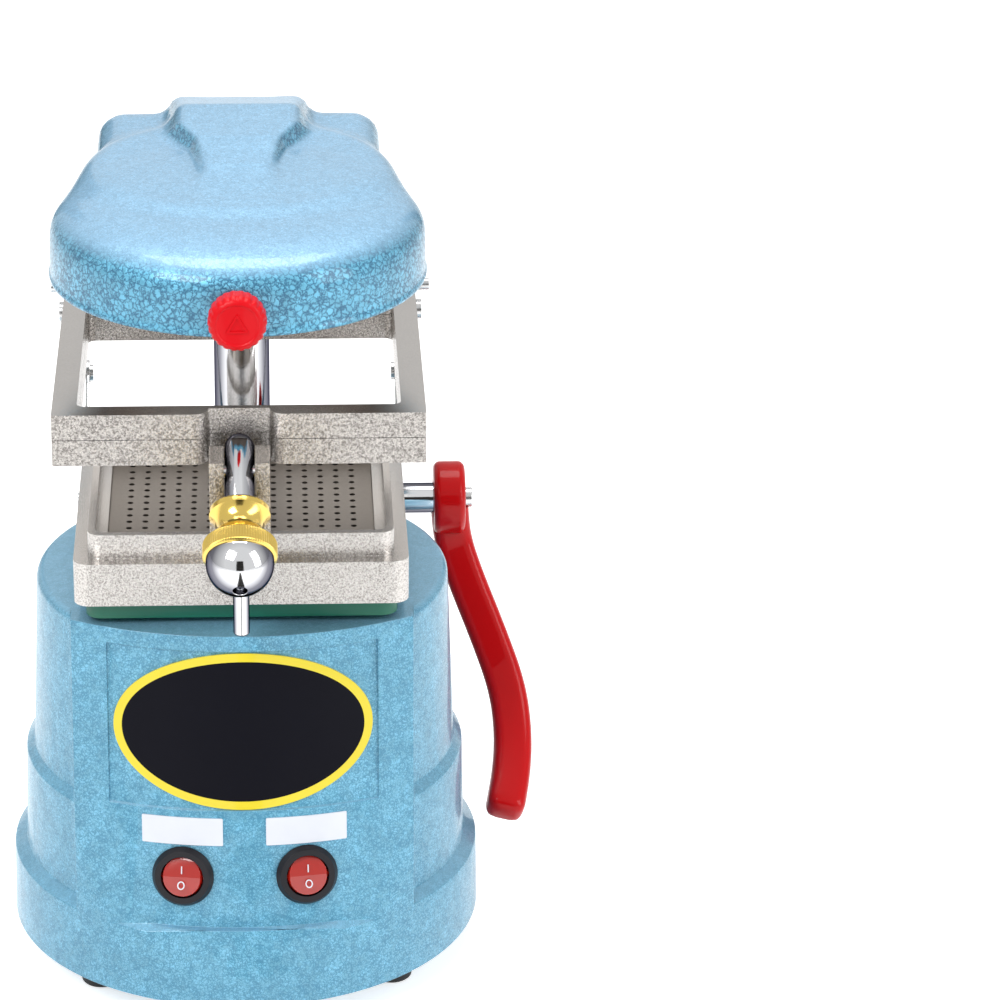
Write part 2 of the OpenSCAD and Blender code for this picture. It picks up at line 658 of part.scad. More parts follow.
// Corner points of a rounded rectangle, four to each corner
function arm_section(w, t, r) = [for (q = [0:3], a = [0:30:90])
  [(q == 0 || q == 3 ? 1 : -1) * (w / 2 - r) + r * cos(a + 90 * q),
   (q < 2 ? 1 : -1) * (t / 2 - r) + r * sin(a + 90 * q)]];
function arm_ring(c, d, section) =
  let (side = unit(cross([0, 1, -0.3], d)), front = cross(d, side)) [for (s = section) c + s[0] * side + s[1] * front];

module lever_arm() {
  line = lever_line();
  full = arm_section(arm_w, arm_t, 3.5);
  n = len(line);
  m = len(full);
  tip = line[n - 1] + tangent(line, n - 1) * 2.5;
  rings = concat([for (i = [0:n - 1]) arm_ring(line[i], tangent(line, i), full)],
    [arm_ring(tip, tangent(line, n - 1), arm_section(arm_w - 5, arm_t - 5, 2))]);
  polyhedron(
    points = [for (r = rings) each r],
    faces = concat([[for (j = [0:m - 1]) j]],
      [for (i = [0:n - 1], j = [0:m - 1]) each [[i * m + j, (i + 1) * m + j, i * m + (j + 1) % m],
        [i * m + (j + 1) % m, (i + 1) * m + j, (i + 1) * m + (j + 1) % m]]],
      [[for (j = [m - 1:-1:0]) n * m + j]]));
}

module hand_lever() placed() color([0.80, 0.03, 0.04]) difference() {
  union() {
    translate([0, shaft_y, shaft_z]) along_x(hub_x, hub_x + hub_t, hub_d / 2);
    lever_arm();
  }
  translate([0, shaft_y, shaft_z]) along_x(hub_x - 10, hub_x + hub_t + 10, shaft_d / 2);
}

module shaft_end_screws() placed() color([0.75, 0.75, 0.76]) translate([0, shaft_y, shaft_z]) {
  along_x(hub_x + hub_t, hub_x + hub_t + 3, 4);
  along_x(-crank_x - 3.6, -crank_x - 1.2, 3.4);
}

// A flat strip between two pins, in the plane x = 0
module strip(y0, z0, r0, y1, z1, r1, w) {
  l = norm([y1 - y0, z1 - z0]);
  translate([0, y0, z0]) rotate([atan2(z1 - z0, y1 - y0), 0, 0]) {
    along_x(-plate_strip_t / 2, plate_strip_t / 2, r0);
    translate([0, l, 0]) along_x(-plate_strip_t / 2, plate_strip_t / 2, r1);
    box(-plate_strip_t / 2, plate_strip_t / 2, 0, l, -w / 2, w / 2);
  }
}

module crank_plates() placed() color([0.76, 0.76, 0.77]) sides() translate([crank_x, 0, 0]) difference() {
  strip(shaft_y, shaft_z, crank_hub_r, knee_y, knee_z, crank_end_r, 9);
  translate([0, shaft_y, shaft_z]) along_x(-2, 2, shaft_d / 2);
  translate([0, knee_y, knee_z]) along_x(-2, 2, knee_pin_r);
}

module knee_pins() placed() color([0.72, 0.72, 0.72]) sides() translate([0, knee_y, knee_z]) {
  along_x(crank_x - 2.2, link_x + 5, knee_pin_r);
  along_x(crank_x - 2.2, crank_x - 0.8, 3.6);
  along_x(link_x + 1.2, link_x + 2.4, 5);
  along_x(link_x + 2.4, link_x + 5, 3.4);
}

module one_link() translate([link_x, 0, 0]) difference() {
  strip(link_y, link_z, link_end_r, knee_y, knee_z, crank_end_r + 0.2, 7.6);
  translate([0, link_y, link_z]) along_x(-2, 2, link_pin_r + run_fit);
  translate([0, knee_y, knee_z]) along_x(-2, 2, knee_pin_r + knee_play);
}
module link_right() placed() color([0.76, 0.76, 0.77]) one_link();
module link_left() placed() color([0.76, 0.76, 0.77]) scale([-1, 1, 1]) one_link();

/* Frames */
module frame_window(z0, z1) translate([0, window_mid_y, 0]) pad(window_half, window_half, 3, z0 - eps, z1 + eps);
// The notch in the front bar, its mouth rounded
mouth_r = 5;
module front_notch(z0, z1) translate([0, -frame_front_y, 0]) {
  pad(notch_w / 2, notch_d, 0.8, z0 - eps, z1 + eps);
  sides() difference() {
    box(notch_w / 2 - eps, notch_w / 2 + mouth_r, -1, mouth_r, z0 - eps, z1 + eps);
    translate([notch_w / 2 + mouth_r, mouth_r, z0 - 1]) cylinder(r = mouth_r, h = z1 - z0 + 2);
  }
}

lug_front = -pivot_y + 5.6;
rod_y = lug_front - 3.8;
lug_top = lower_top - 2.4;
lug_low = lower_z - 21;
slot_w = bolt_d + 2 * pass_gap;
tail_r = 10.6 + bolt_d / 2;

module lower_frame() placed() color([0.72, 0.70, 0.68]) difference() {
  union() {
    box(-frame_w / 2, frame_w / 2, -frame_front_y, frame_rear_y, lower_z, lower_top);
    box(-frame_w / 2, frame_w / 2, hinge_y + 10, frame_rear_y, lower_z, lower_z + block_h);
    sides() box(arm_inner - 11, arm_inner - pass_gap, hinge_y - 5.5, hinge_y + 12, lower_z, lower_z + block_h - 6);
    translate([0, column_y, lower_z]) cylinder(r = column_d / 2 + 7, h = block_h);
    boss();
    lug();
  }
  frame_window(lower_z, lower_top);
  difference() {
    front_notch(lower_z, lower_top);
    box(-slot_w / 2 - 6, slot_w / 2 + 6, -frame_front_y - 9, -frame_front_y, lower_z - 1, lug_top);
  }
  box(-slot_w / 2, slot_w / 2, -lug_front - 2, -frame_front_y + notch_d, pivot_z - tail_r - 0.6, lower_top + eps);
  translate([0, pivot_y, pivot_z]) along_x(-20, 20, 2.5);
  translate([0, -rod_y, lug_low - eps]) cylinder(d = rod_d, h = 8);
  translate([0, column_y, lower_z - eps]) cylinder(d = column_d + 2 * run_fit, h = block_h + 2 * eps);
  sides() box(link_x - 1.6, link_x + 1.6, link_y - 7, frame_rear_y - 4, lower_z - eps, lower_top + 0.2);
  sides() translate([0, link_y, link_z]) along_x(arm_inner + 2, frame_w / 2 + eps, link_pin_r);
  sides() translate([0, hinge_y, hinge_z]) along_x(arm_inner - 9, arm_inner + eps, 2.4);
  translate([0, 0, lower_z + 19]) along_y(column_y, frame_rear_y + boss_out + eps, 3.8);
}

// The boss behind the column, narrow at its top and flaring to its foot
module boss() intersection() {
  box(-19, 19, column_y, frame_rear_y + boss_out, lower_z, lower_z + block_h);
  translate([0, frame_rear_y + boss_out, lower_z]) rotate([90, 0, 0]) linear_extrude(30) difference() {
    translate([-19, 0]) square([38, block_h]);
    for (s = [-1, 1]) translate([s * (8.5 + block_h), block_h * 1.12]) circle(block_h, $fn = 96);
  }
}

// The lug in front of the notch, slotted for the bolt
module lug() {
  box(-notch_w / 2 + 0.4, notch_w / 2 - 0.4, -lug_front, -frame_front_y + notch_d - 2, lower_z - 2, lug_top);
  box(-notch_w / 2 + 0.4, notch_w / 2 - 0.4, -lug_front, -frame_front_y + notch_d - 2, lug_low, lower_z - 2);
}

module upper_frame() placed() color([0.74, 0.72, 0.70]) difference() {
  union() {
    box(-frame_w / 2, frame_w / 2, -frame_front_y, hinge_y - 8, upper_z, upper_top);
    sides() box(arm_inner, frame_w / 2, hinge_y - 9, hinge_y, upper_z, upper_top);
    sides() translate([0, hinge_y, hinge_z]) along_x(arm_inner, frame_w / 2, upper_t / 2 - 0.05);
  }
  frame_window(upper_z, upper_top);
  front_notch(upper_z, upper_top);
  translate([0, column_y, upper_z - eps]) cylinder(r = column_d / 2 + 8.5, h = upper_t + 2 * eps);
  sides() translate([0, hinge_y, hinge_z]) along_x(arm_inner - eps, frame_w / 2 + eps, 2.4 + run_fit);
}

module hinge_pins() placed() color([0.70, 0.70, 0.71]) sides() translate([0, hinge_y, hinge_z]) {
  along_x(arm_inner - 9, frame_w / 2 + 6, 2.4);
}

module link_screws() placed() color([0.70, 0.70, 0.71]) sides() translate([0, link_y, link_z]) {
  along_x(arm_inner + 2, frame_w / 2 + 3, link_pin_r);
  along_x(frame_w / 2, frame_w / 2 + 3, 4);
}

module frame_set_screw() placed() color([0.08, 0.08, 0.08]) translate([0, 0, lower_z + 19]) difference() {
  along_y(column_y + column_d / 2 + 0.2, frame_rear_y + boss_out - 1, 3.8);
  along_y(frame_rear_y + boss_out - 5, frame_rear_y + boss_out, 2);
}

module bolt_pivot_pin() placed() color([0.75, 0.75, 0.76]) translate([0, pivot_y, pivot_z])
  along_x(-notch_w / 2 + 0.4, notch_w / 2 - 0.4, 2.5);

module guide_rod() placed() color([0.80, 0.80, 0.82]) translate([0, -rod_y, rod_end_z]) {
  translate([0, 0, 0.6]) cylinder(d = rod_d, h = lug_low + 7 - rod_end_z - 0.6);
  cylinder(r1 = rod_d / 2 - 0.6, r2 = rod_d / 2, h = 0.6);
}

/* Swing bolt, drawn along its own axis, +z away from the pivot */
module on_bolt() translate([0, pivot_y, pivot_z]) rotate([90 + bolt_drop, 0, 0]) children();

module swing_bolt() placed() color([0.80, 0.81, 0.83]) on_bolt() difference() {
  union() {
    translate([0, 0, -10.6]) cylinder(d = bolt_d, h = 10.6 + nut_face - nut_l - pass_gap);
    translate([0, 0, -10.6]) sphere(d = bolt_d);
    cylinder(r = 4, h = ball_reach - 6);
  }
  along_x(-10, 10, 2.5 + run_fit);
}

module bolt_ball() placed() color([0.82, 0.83, 0.85]) on_bolt() translate([0, 0, ball_reach]) difference() {
  sphere(d = ball_d, $fn = 96);
  translate([0, 0, ball_d / 2 - 6]) cylinder(r = 2.6, h = 8);
  translate([0, 0, -ball_d / 2 - 1]) cylinder(r = 4, h = ball_d / 2 - 5);
}

module clamp_nut() placed() color([0.85, 0.68, 0.20]) on_bolt() difference() {
  nut_shell();
  translate([0, 0, ball_reach]) sphere(r = ball_d / 2 + pass_gap, $fn = 96);
}
module nut_shell() {
  back = nut_face - nut_l;
  top_r = nut_flange_d / 2 - 2.2;
  rotate_extrude($fn = 96) polygon(concat(
    [[4 + run_fit, back], [top_r - 1, back], [top_r, back + 0.8], [top_r, back + 2.4]],
    [for (t = [0:0.125:1]) [top_r - 1.7 * sin(180 * t) - 0.4 * t, back + 3 + t * (nut_l - 8.4)]],
    [[nut_flange_d / 2 - 0.6, nut_face - 5], [nut_flange_d / 2 - 0.3, nut_face - 4.6],
     [nut_flange_d / 2 - 0.3, nut_face - 0.4], [nut_flange_d / 2 - 0.8, nut_face], [4 + run_fit, nut_face]]));
}

/* Head */
// Profile of the dome, shrunk by g on every side: a nearly flat top with a full, round shoulder
function dome_profile(g) = concat([[0, 0], [hood_r - 1.2 - g, 0], [hood_r - 1.4 - g, 8]],
  [for (a = [9:9:90]) [(hood_r - 1.4 - g) * pow(cos(a), 0.444), 8 + (dome_h - 8 - g) * pow(sin(a), 0.444)]]);

// The dome's top runs back over the block, which fills the corners between them
heel_r = 59;
heel_y = 31;
module hood_heel() translate([0, heel_y, head_z]) rotate_extrude($fn = 120) polygon(concat([[0, 0], [heel_r, 0]],
  [for (a = [0:15:90]) [heel_r - 12 + 12 * cos(a), dome_h - 9.8 + 9 * sin(a)]], [[0, dome_h - 0.8]]));

module dome(g) translate([0, hood_y, head_z]) rotate_extrude($fn = 144) polygon(dome_profile(g));

module hood_block(g) intersection() {
  translate([0, (hood_rear_y + hood_y) / 2, 0])
    pad(hood_block_w / 2 - g, (hood_rear_y - hood_y) / 2 - g, 14 - g, head_z, head_z + hood_h);
  translate([0, hood_rear_y + 1, 0]) rotate([90, 0, 0]) linear_extrude(150)
    translate([0, head_z + 2]) rounded(hood_block_w / 2 - g, 22 - g, 11);
  rotate([90, 0, 90]) translate([0, 0, -80]) linear_extrude(160)
    translate([hood_rear_y - 60, head_z + 2]) rounded(60 - g, 22 - g, 8);
}

// The raised ridge over the rear of the hood
module hood_ridge(g) intersection() {
  translate([0, 0, head_z]) linear_extrude(60) polygon([[-30 + g, hood_rear_y - 1.5 - g], [30 - g, hood_rear_y - 1.5 - g],
    [28 - g, 70], [17 - g, 45], [14 - g, 20], [12 - g, -6], [-12 + g, -6], [-14 + g, 20], [-17 + g, 45],
    [-28 + g, 70]]);
  translate([0, hood_rear_y + 1, head_z]) rotate([90, 0, 0]) linear_extrude(180)
    polygon([[-31 + g, 0], [31 - g, 0], [31 - g, 14], [26 - g, 30], [20 - g, 45], [-20 + g, 45], [-26 + g, 30], [-31 + g, 14]]);
  rotate([90, 0, 90]) translate([0, 0, -80]) linear_extrude(160) polygon([[-6, head_z],
    [hood_rear_y - 1.5 - g, head_z], [hood_rear_y - 1.5 - g, head_z + 24 - g], [hood_rear_y - 6 - g, head_z + 30 - g],
    [80, head_z + hood_h - g], [45, head_z + hood_h - 1.2 - g], [20, head_z + hood_h - 4 - g],
    [-6, head_z + dome_h - 1.8 - g]]);
}

module heater_hood() placed() color([0.42, 0.68, 0.82]) difference() {
  union() {
    dome(0);
    translate([0, hood_y, head_z]) cylinder(r = hood_r, h = 3, $fn = 144);
    hood_block(0);
    hood_heel();
    hood_ridge(0);
  }
  translate([0, 0, -0.01]) dome(hood_wall);
  translate([0, 0, -0.01]) hood_block(hood_wall);
  translate([0, hood_y, head_z + knob_up]) along_y(-hood_r - 2, -hood_r + 12, 3);
}

module head_hub() placed() color([0.66, 0.66, 0.68]) difference() {
  union() {
    box(-32, 32, 74, hood_rear_y - hood_wall - 0.1, head_z + 8, head_z + 14);
    translate([0, column_y, head_z]) cylinder(r = 15.5, h = 18);
  }
  translate([0, column_y, head_z - eps]) cylinder(d = column_d + 2 * run_fit, h = 24);
  hub_bolts() cylinder(r = 2, h = 30);
}
module hub_bolts() for (x = [-26, 26], y = [80, 108]) translate([x, y, head_z + 4]) children();

module hub_screws() placed() color([0.70, 0.70, 0.70]) hub_bolts() {
  cylinder(r = 3.4, h = 4);
  cylinder(r = 2, h = 24.2 - hood_wall - 7);
}

// The pan closes the hood from below and reflects the heat down
module reflector_pan() placed() color([0.78, 0.79, 0.80]) difference() {
  union() {
    translate([0, hood_y, head_z]) rotate_extrude($fn = 96) polygon([[0, 10], [50, 10], [58, 1.4], [hood_r - 4.4, 1.4],
      [hood_r - 4.4, 0], [57, 0], [49, 8.6], [0, 8.6]]);
    difference() {
      intersection() {
        translate([0, (hood_rear_y + hood_y) / 2, 0]) pad(hood_block_w / 2 - hood_wall - 0.2,
          (hood_rear_y - hood_y) / 2 - hood_wall - 0.2, 10, head_z + 0.1, head_z + 1.3);
        box(-80, 80, 45, 130, head_z - 1, head_z + 3);
      }
      translate([0, hood_y, head_z - 1]) cylinder(r = hood_r - 6, h = 6);
      translate([0, column_y, head_z - 1]) cylinder(r = 17, h = 6);
      box(-15, 15, column_y, 130, head_z - 1, head_z + 5);
    }
  }
}

module heater_disc() placed() color([0.86, 0.84, 0.80]) translate([0, hood_y, head_z + 4.2]) difference() {
  cylinder(r = 46, h = 4.4);
  for (r = [10:8:42]) translate([0, 0, -eps]) difference() {
    cylinder(r = r + 2.2, h = 3);
    translate([0, 0, -eps]) cylinder(r = r - 2.2, h = 5);
  }
}

module heating_wire() placed() color([0.55, 0.50, 0.46]) translate([0, hood_y, head_z + 4.8])
  for (r = [10:8:42]) rotate_extrude() translate([r, 0]) circle(1.9, $fn = 24);

module pan_domes() placed() color([0.80, 0.80, 0.80]) sides() translate([29.5, 78, head_z]) difference() {
  translate([0, 0, 8]) sphere(r = 12, $fn = 64);
  box(-20, 20, -20, 20, 0, 30);
}

module head_knob() placed() color([0.86, 0.04, 0.06]) translate([0, hood_y, head_z + knob_up]) {
  along_y(-hood_r - 11, -hood_r - 0.02, knob_d / 2);
  along_y(-hood_r - 0.02, -hood_r + 10, 2.95);
}

/* Mains cord */
gland_y = 95;
floor_z = cord_d / 2;
coil_x = 22;
coil_y = 178;
layer_h = cord_d + 0.5;
// Route from the gland to the coil, and from the coil to the plug
CORD_ROUTE = [[41, 95, 16.5], [41, 102, 16.5], [41.5, 109, 14.8], [43.5, 116, 11], [48, 123, 6.5], [54, 130, 3.6], [61, 137.5, 3],
  [66.5, 145.5, 3], [67, 154, 3], [64.9, 166, 3], [63, 178, 3]];
TAIL_ROUTE = [[63, 178, 9.5], [63, 184, 9.5], [62.4, 192, 9.4], [60, 202, 8.4], [55, 212, 6], [47, 220, 3.9],
  [37, 226, 3.2], [26, 229.5, 3.6], [14, 230, 5], [4, 228, 6.6], [-4, 224, 7], [-10, 221, 7]];

coil_in_r = coil_out_r - (coil_turns / 2) * layer_h;
// Turn t of the coil, from 0 to coil_turns: in along the floor, up a layer, and out again
function coil_point(t) =
  let (half = coil_turns / 2, r = coil_in_r + (coil_out_r - coil_in_r) * abs(t - half) / half,
    up = min(1, max(0, t - half + 0.25) * 2))
  [coil_x + r * cos(360 * t), coil_y + r * sin(360 * t), floor_z + layer_h * up];
function coil_path() = [for (i = [0:24 * coil_turns]) coil_point(i / 24)];

// A tube of n sides swept along points p
module tube(p, r, n) {
  k = len(p);
  rings = [for (i = [0:k - 1])
    let (d = tangent(p, i), side = unit(cross(d, [0, 0.001, 1])), up = cross(side, d))
      for (j = [0:n - 1]) p[i] + r * (cos(360 * j / n + 180 / n) * side + sin(360 * j / n + 180 / n) * up)];
  polyhedron(points = rings, faces = concat([[for (j = [n - 1:-1:0]) j]],
    [for (i = [0:k - 2], j = [0:n - 1]) each [[i * n + j, i * n + (j + 1) % n, (i + 1) * n + j],
      [i * n + (j + 1) % n, (i + 1) * n + (j + 1) % n, (i + 1) * n + j]]],
    [[for (j = [0:n - 1]) (k - 1) * n + j]]));
}

module mains_cord() placed() color([0.05, 0.05, 0.05]) {
  tube(cut_once(CORD_ROUTE), cord_d / 2, 8);
  tube(cut_once(TAIL_ROUTE), cord_d / 2, 8);
}
module cord_coil() placed() color([0.05, 0.05, 0.05]) tube(coil_path(), cord_d / 2, 6);

module plug_place() translate([-10, 221, 7]) rotate([0, 0, 206.6]) rotate([0, 90, 0]) children();
module mains_plug() placed() color([0.06, 0.06, 0.06]) plug_place() {
  cylinder(r1 = 3.6, r2 = 5.4, h = 22);
  translate([0, 0, 22]) linear_extrude(24) rounded(6.5, 13, 6);
}

module plug_pins() placed() color([0.75, 0.75, 0.77]) plug_place() for (s = [-1, 1]) translate([0, s * 9, 46]) {
  cylinder(r = 2, h = 17);
  translate([0, 0, 17]) cylinder(r1 = 2, r2 = 1.2, h = 1.5);
}

base_housing();
bottom_cover();
rubber_feet();
cover_screws();
tray_gasket();
tray_body();
perforated_plate();
tray_screws();
guide_column();
support_collar();
column_set_screw();
shaft_bushes();
badge_plate();
badge_border();
switch_labels();
rear_plate();
switch_bodies();
vacuum_rocker();
heater_rocker();
fan_case();
motor_stator();
motor_end_cap();
motor_bearings();
motor_cradle();
inlet_seal();
motor_rotor();
fan_impeller();
terminal_block();
heater_lead();
cord_gland();
cross_shaft();
hand_lever();
shaft_end_screws();
crank_plates();
knee_pins();
link_right();
link_left();
lower_frame();
link_screws();
hinge_pins();
frame_set_screw();
bolt_pivot_pin();
guide_rod();
upper_frame();
swing_bolt();
bolt_ball();
clamp_nut();
heater_hood();
head_hub();
hub_screws();
reflector_pan();
heater_disc();
heating_wire();
pan_domes();
head_knob();
mains_cord();
cord_coil();
mains_plug();
plug_pins();
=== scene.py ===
"""A dental vacuum former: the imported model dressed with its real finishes, a camera and soft light.

Lengths are in millimetres in the machine's own coordinates (the column stands at x = 0, y = COLUMN_Y) and turned
into the frame's metres by at(). +x is the side of the lever, -y is the front.
"""
import json
import math

import bmesh
import bpy
import numpy as np
from mathutils import Matrix, Vector


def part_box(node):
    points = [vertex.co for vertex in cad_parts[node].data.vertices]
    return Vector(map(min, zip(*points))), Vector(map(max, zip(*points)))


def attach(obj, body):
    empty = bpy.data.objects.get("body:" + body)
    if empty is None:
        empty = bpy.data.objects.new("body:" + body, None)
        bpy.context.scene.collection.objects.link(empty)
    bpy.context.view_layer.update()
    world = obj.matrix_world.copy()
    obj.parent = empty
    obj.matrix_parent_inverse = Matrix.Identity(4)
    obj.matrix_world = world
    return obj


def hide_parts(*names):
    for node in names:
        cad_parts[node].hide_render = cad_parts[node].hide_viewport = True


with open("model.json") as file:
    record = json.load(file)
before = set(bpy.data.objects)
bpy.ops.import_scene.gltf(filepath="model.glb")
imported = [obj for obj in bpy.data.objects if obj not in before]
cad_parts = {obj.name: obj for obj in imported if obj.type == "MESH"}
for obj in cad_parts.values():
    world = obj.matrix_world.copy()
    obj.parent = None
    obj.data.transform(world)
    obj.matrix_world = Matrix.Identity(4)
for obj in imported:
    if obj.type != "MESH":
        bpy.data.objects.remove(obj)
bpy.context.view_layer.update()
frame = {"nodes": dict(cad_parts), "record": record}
nodes = frame["nodes"]
MM = 0.001
TAU = 2 * math.pi

# ---------------------------------------------------------------- sizes, as in the part's source
COLUMN_Y = 98.0
HEAD_Z = 272.5
HOOD_Y = -3.6
HOOD_R = 70.5
KNOB_UP = 9.0
SHAFT = (79.0, 145.5)  # y and z of the lever's shaft
PIVOT = (-74.5, 221.5)  # y and z of the swing bolt's pivot
BOLT_DROP = math.radians(33)
DECK_Z = 152.5
# The front is a cone that leans back: its axis, its radius at the deck, and its growth for each millimetre below that
FRONT_Y = 60.5
FRONT_R = 126.5
FRONT_GROWTH = 21.5 / 141.5
LEAN = math.atan(FRONT_GROWTH)
SWITCH_X, SWITCH_Z = 23.0, 60.5
LABEL_Z, LABEL_HALF_W, LABEL_HALF_H = 78.0, 15.0, 5.2
BADGE_Z, BADGE_HALF_W, BADGE_HALF_H = 116.2, 48.0, 29.75

low, high = (np.array(c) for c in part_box("guide_column"))
ORIGIN = np.array([(low[0] + high[0]) / 2, (low[1] + high[1]) / 2 - COLUMN_Y * MM, 0.0])


def at(points):
    """Machine millimetres to the frame's metres."""
    return np.asarray(points, float) * MM + ORIGIN


# ---------------------------------------------------------------- camera
def add_camera():
    """The photograph's eye point and aim. The focal length is 4449 pixels for a frame 1000 pixels wide, and the eye
    looks straight at the pixel straight_x, straight_y, so the camera turns from there to the frame's middle."""
    eye = at((12.85, -1549.56, 839.35))
    right = np.array([0.99992, 0.00265, -0.01259])
    up = np.array([0.01043, 0.40596, 0.91383])
    ahead = np.array([-0.00754, 0.91389, -0.40590])
    wide, focal = 1000, 4449.3
    straight_x, straight_y = 242.7, 567.2
    aim = ahead + right * (wide / 2 - straight_x) / focal - up * (wide / 2 - straight_y) / focal
    aim = aim / np.linalg.norm(aim)
    right = right - aim * (right @ aim)
    right = right / np.linalg.norm(right)
    up = np.cross(right, aim)
    data = bpy.data.cameras.new("photo_camera")
    data.sensor_width = 36
    data.clip_end = 20
    data.lens = focal * data.sensor_width / wide
    camera = bpy.data.objects.new("photo_camera", data)
    bpy.context.scene.collection.objects.link(camera)
    basis = np.eye(4)
    basis[:3, 0], basis[:3, 1], basis[:3, 2], basis[:3, 3] = right, up, -aim, eye
    camera.matrix_world = Matrix(basis.tolist())
    bpy.context.scene.camera = camera


add_camera()


# ---------------------------------------------------------------- mesh helpers
def piece(name, points, faces, material, body, replaces=(), sharp=40):
    """A mesh object from arrays: welded, faces turned outward, riding on a body."""
    mesh = bpy.data.meshes.new(name)
    mesh.from_pydata([tuple(p) for p in points], [], [tuple(f) for f in faces])
    work = bmesh.new()
    work.from_mesh(mesh)
    bmesh.ops.remove_doubles(work, verts=work.verts, dist=2e-6)
    bmesh.ops.recalc_face_normals(work, faces=work.faces)
    work.to_mesh(mesh)
    work.free()
    return finish_piece(name, mesh, material, body, replaces, sharp)


def finish_piece(name, mesh, material, body, replaces, sharp):
    """An object for the mesh, with its material, its body and the solids that it stands for."""
    obj = bpy.data.objects.new(name, mesh)
    bpy.context.scene.collection.objects.link(obj)
    mesh.materials.clear()
    mesh.materials.append(material)
    mesh.shade_smooth()
    mesh.set_sharp_from_angle(angle=math.radians(sharp))
    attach(obj, body)
    if replaces:
        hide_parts(*replaces)
    return obj


body_of = {n: b for b, members in frame["record"]["behaviour"]["bodies"].items() for n in members}


def grid_faces(rows, columns):
    """Quads between the rows of a grid whose last column joins the first."""
    i, j = np.meshgrid(np.arange(rows - 1), np.arange(columns), indexing="ij")
    k = (j + 1) % columns
    return np.stack([i * columns + j, i * columns + k, (i + 1) * columns + k, (i + 1) * columns + j], -1).reshape(-1, 4)


def eased(profile, radius, steps=5, closed=False):
    """A polyline with each corner replaced by a quadratic curve that starts radius before it."""
    p = np.asarray(profile, float)
    n = len(p)
    out = []
    for i in range(n):
        if not closed and i in (0, n - 1):
            out.append(p[i][None])
            continue
        a, b, c = p[i - 1], p[i], p[(i + 1) % n]
        la, lc = np.linalg.norm(a - b), np.linalg.norm(c - b)
        r = min(radius, la * 0.48, lc * 0.48)
        start, end = b + (a - b) * r / la, b + (c - b) * r / lc
        t = np.linspace(0, 1, steps)[:, None]
        out.append((1 - t) ** 2 * start + 2 * t * (1 - t) * b + t ** 2 * end)
    return np.concatenate(out)


def axes(direction):
    """Two unit vectors square to a direction, and the direction itself."""
    w = np.asarray(direction, float)
    w = w / np.linalg.norm(w)
    u = np.cross(w, [0.0, 0.0, 1.0] if abs(w[2]) < 0.9 else [0.0, 1.0, 0.0])
    u = u / np.linalg.norm(u)
    return u, np.cross(w, u), w


def turned(name, profile, base, direction, material, body, replaces=(), sides=96, ripple=None, sharp=50, ring=False):
    """A surface of revolution: the profile's (radius, height) pairs carried round the axis that leaves base along
    direction. ripple(angle, height) adds to the radius. A ring's profile closes on itself."""
    p = np.asarray(profile, float)
    if ring:
        p = np.concatenate([p, p[:1]])
    t = np.linspace(0, TAU, sides, endpoint=False)
    radius = np.repeat(p[:, :1], sides, 1)
    height = np.repeat(p[:, 1:], sides, 1)
    if ripple is not None:
        radius = radius + ripple(t[None, :], height) * (radius > 0)
    u, v, w = axes(direction)
    c, s = np.cos(t)[None, :, None], np.sin(t)[None, :, None]
    points = np.asarray(base, float) + radius[..., None] * (c * u + s * v) + height[..., None] * w
    return piece(name, at(points.reshape(-1, 3)), grid_faces(len(p), sides), material, body, replaces, sharp=sharp)


def swept(name, path, section, side_hint, material, body, replaces=(), sharp=50):
    """A section carried along a path: at each point it lies square to the path, its first axis square to side_hint."""
    path = np.asarray(path, float)
    tangent = np.gradient(path, axis=0)
    tangent /= np.linalg.norm(tangent, axis=1)[:, None]
    side = np.cross(np.asarray(side_hint, float), tangent)
    side /= np.linalg.norm(side, axis=1)[:, None]
    front = np.cross(tangent, side)
    sections = section if section.ndim == 3 else np.repeat(section[None], len(path), 0)
    points = path[:, None] + sections[..., :1] * side[:, None] + sections[..., 1:] * front[:, None]
    n, m = sections.shape[:2]
    faces = grid_faces(n, m).tolist() + [list(range(m)), list(range((n - 1) * m, n * m))]
    return piece(name, at(points.reshape(-1, 3)), faces, material, body, replaces, sharp=sharp)


def softened(node, material, width, segments, clamp=True):
    """A welded copy of a part's solid with its edges rounded, in place of the plain solid."""
    angle = 30
    mesh = nodes[node].data.copy()
    work = bmesh.new()
    work.from_mesh(mesh)
    bmesh.ops.remove_doubles(work, verts=work.verts, dist=1e-5)
    bmesh.ops.dissolve_limit(work, angle_limit=math.radians(0.7), verts=work.verts, edges=work.edges)
    work.to_mesh(mesh)
    work.free()
    obj = finish_piece(node + "_skin", mesh, material, body_of[node], (node,), angle)
    if width:
        bevel = obj.modifiers.new("rounded edges", "BEVEL")
        bevel.width = width * MM
        bevel.segments = segments
        bevel.limit_method = "ANGLE"
        bevel.angle_limit = math.radians(angle)
        bevel.harden_normals = True
        bevel.use_clamp_overlap = clamp
    return obj


# ---------------------------------------------------------------- shader groups
def group(name, inputs, outputs):
    """An empty shader group with named sockets, and its two end nodes."""
    tree = bpy.data.node_groups.new(name, "ShaderNodeTree")
    for label, kind, value in inputs:
        socket = tree.interface.new_socket(label, in_out="INPUT", socket_type=kind)
        socket.default_value = value
    for label, kind in outputs:
        tree.interface.new_socket(label, in_out="OUTPUT", socket_type=kind)
    return tree, tree.nodes.new("NodeGroupInput"), tree.nodes.new("NodeGroupOutput")


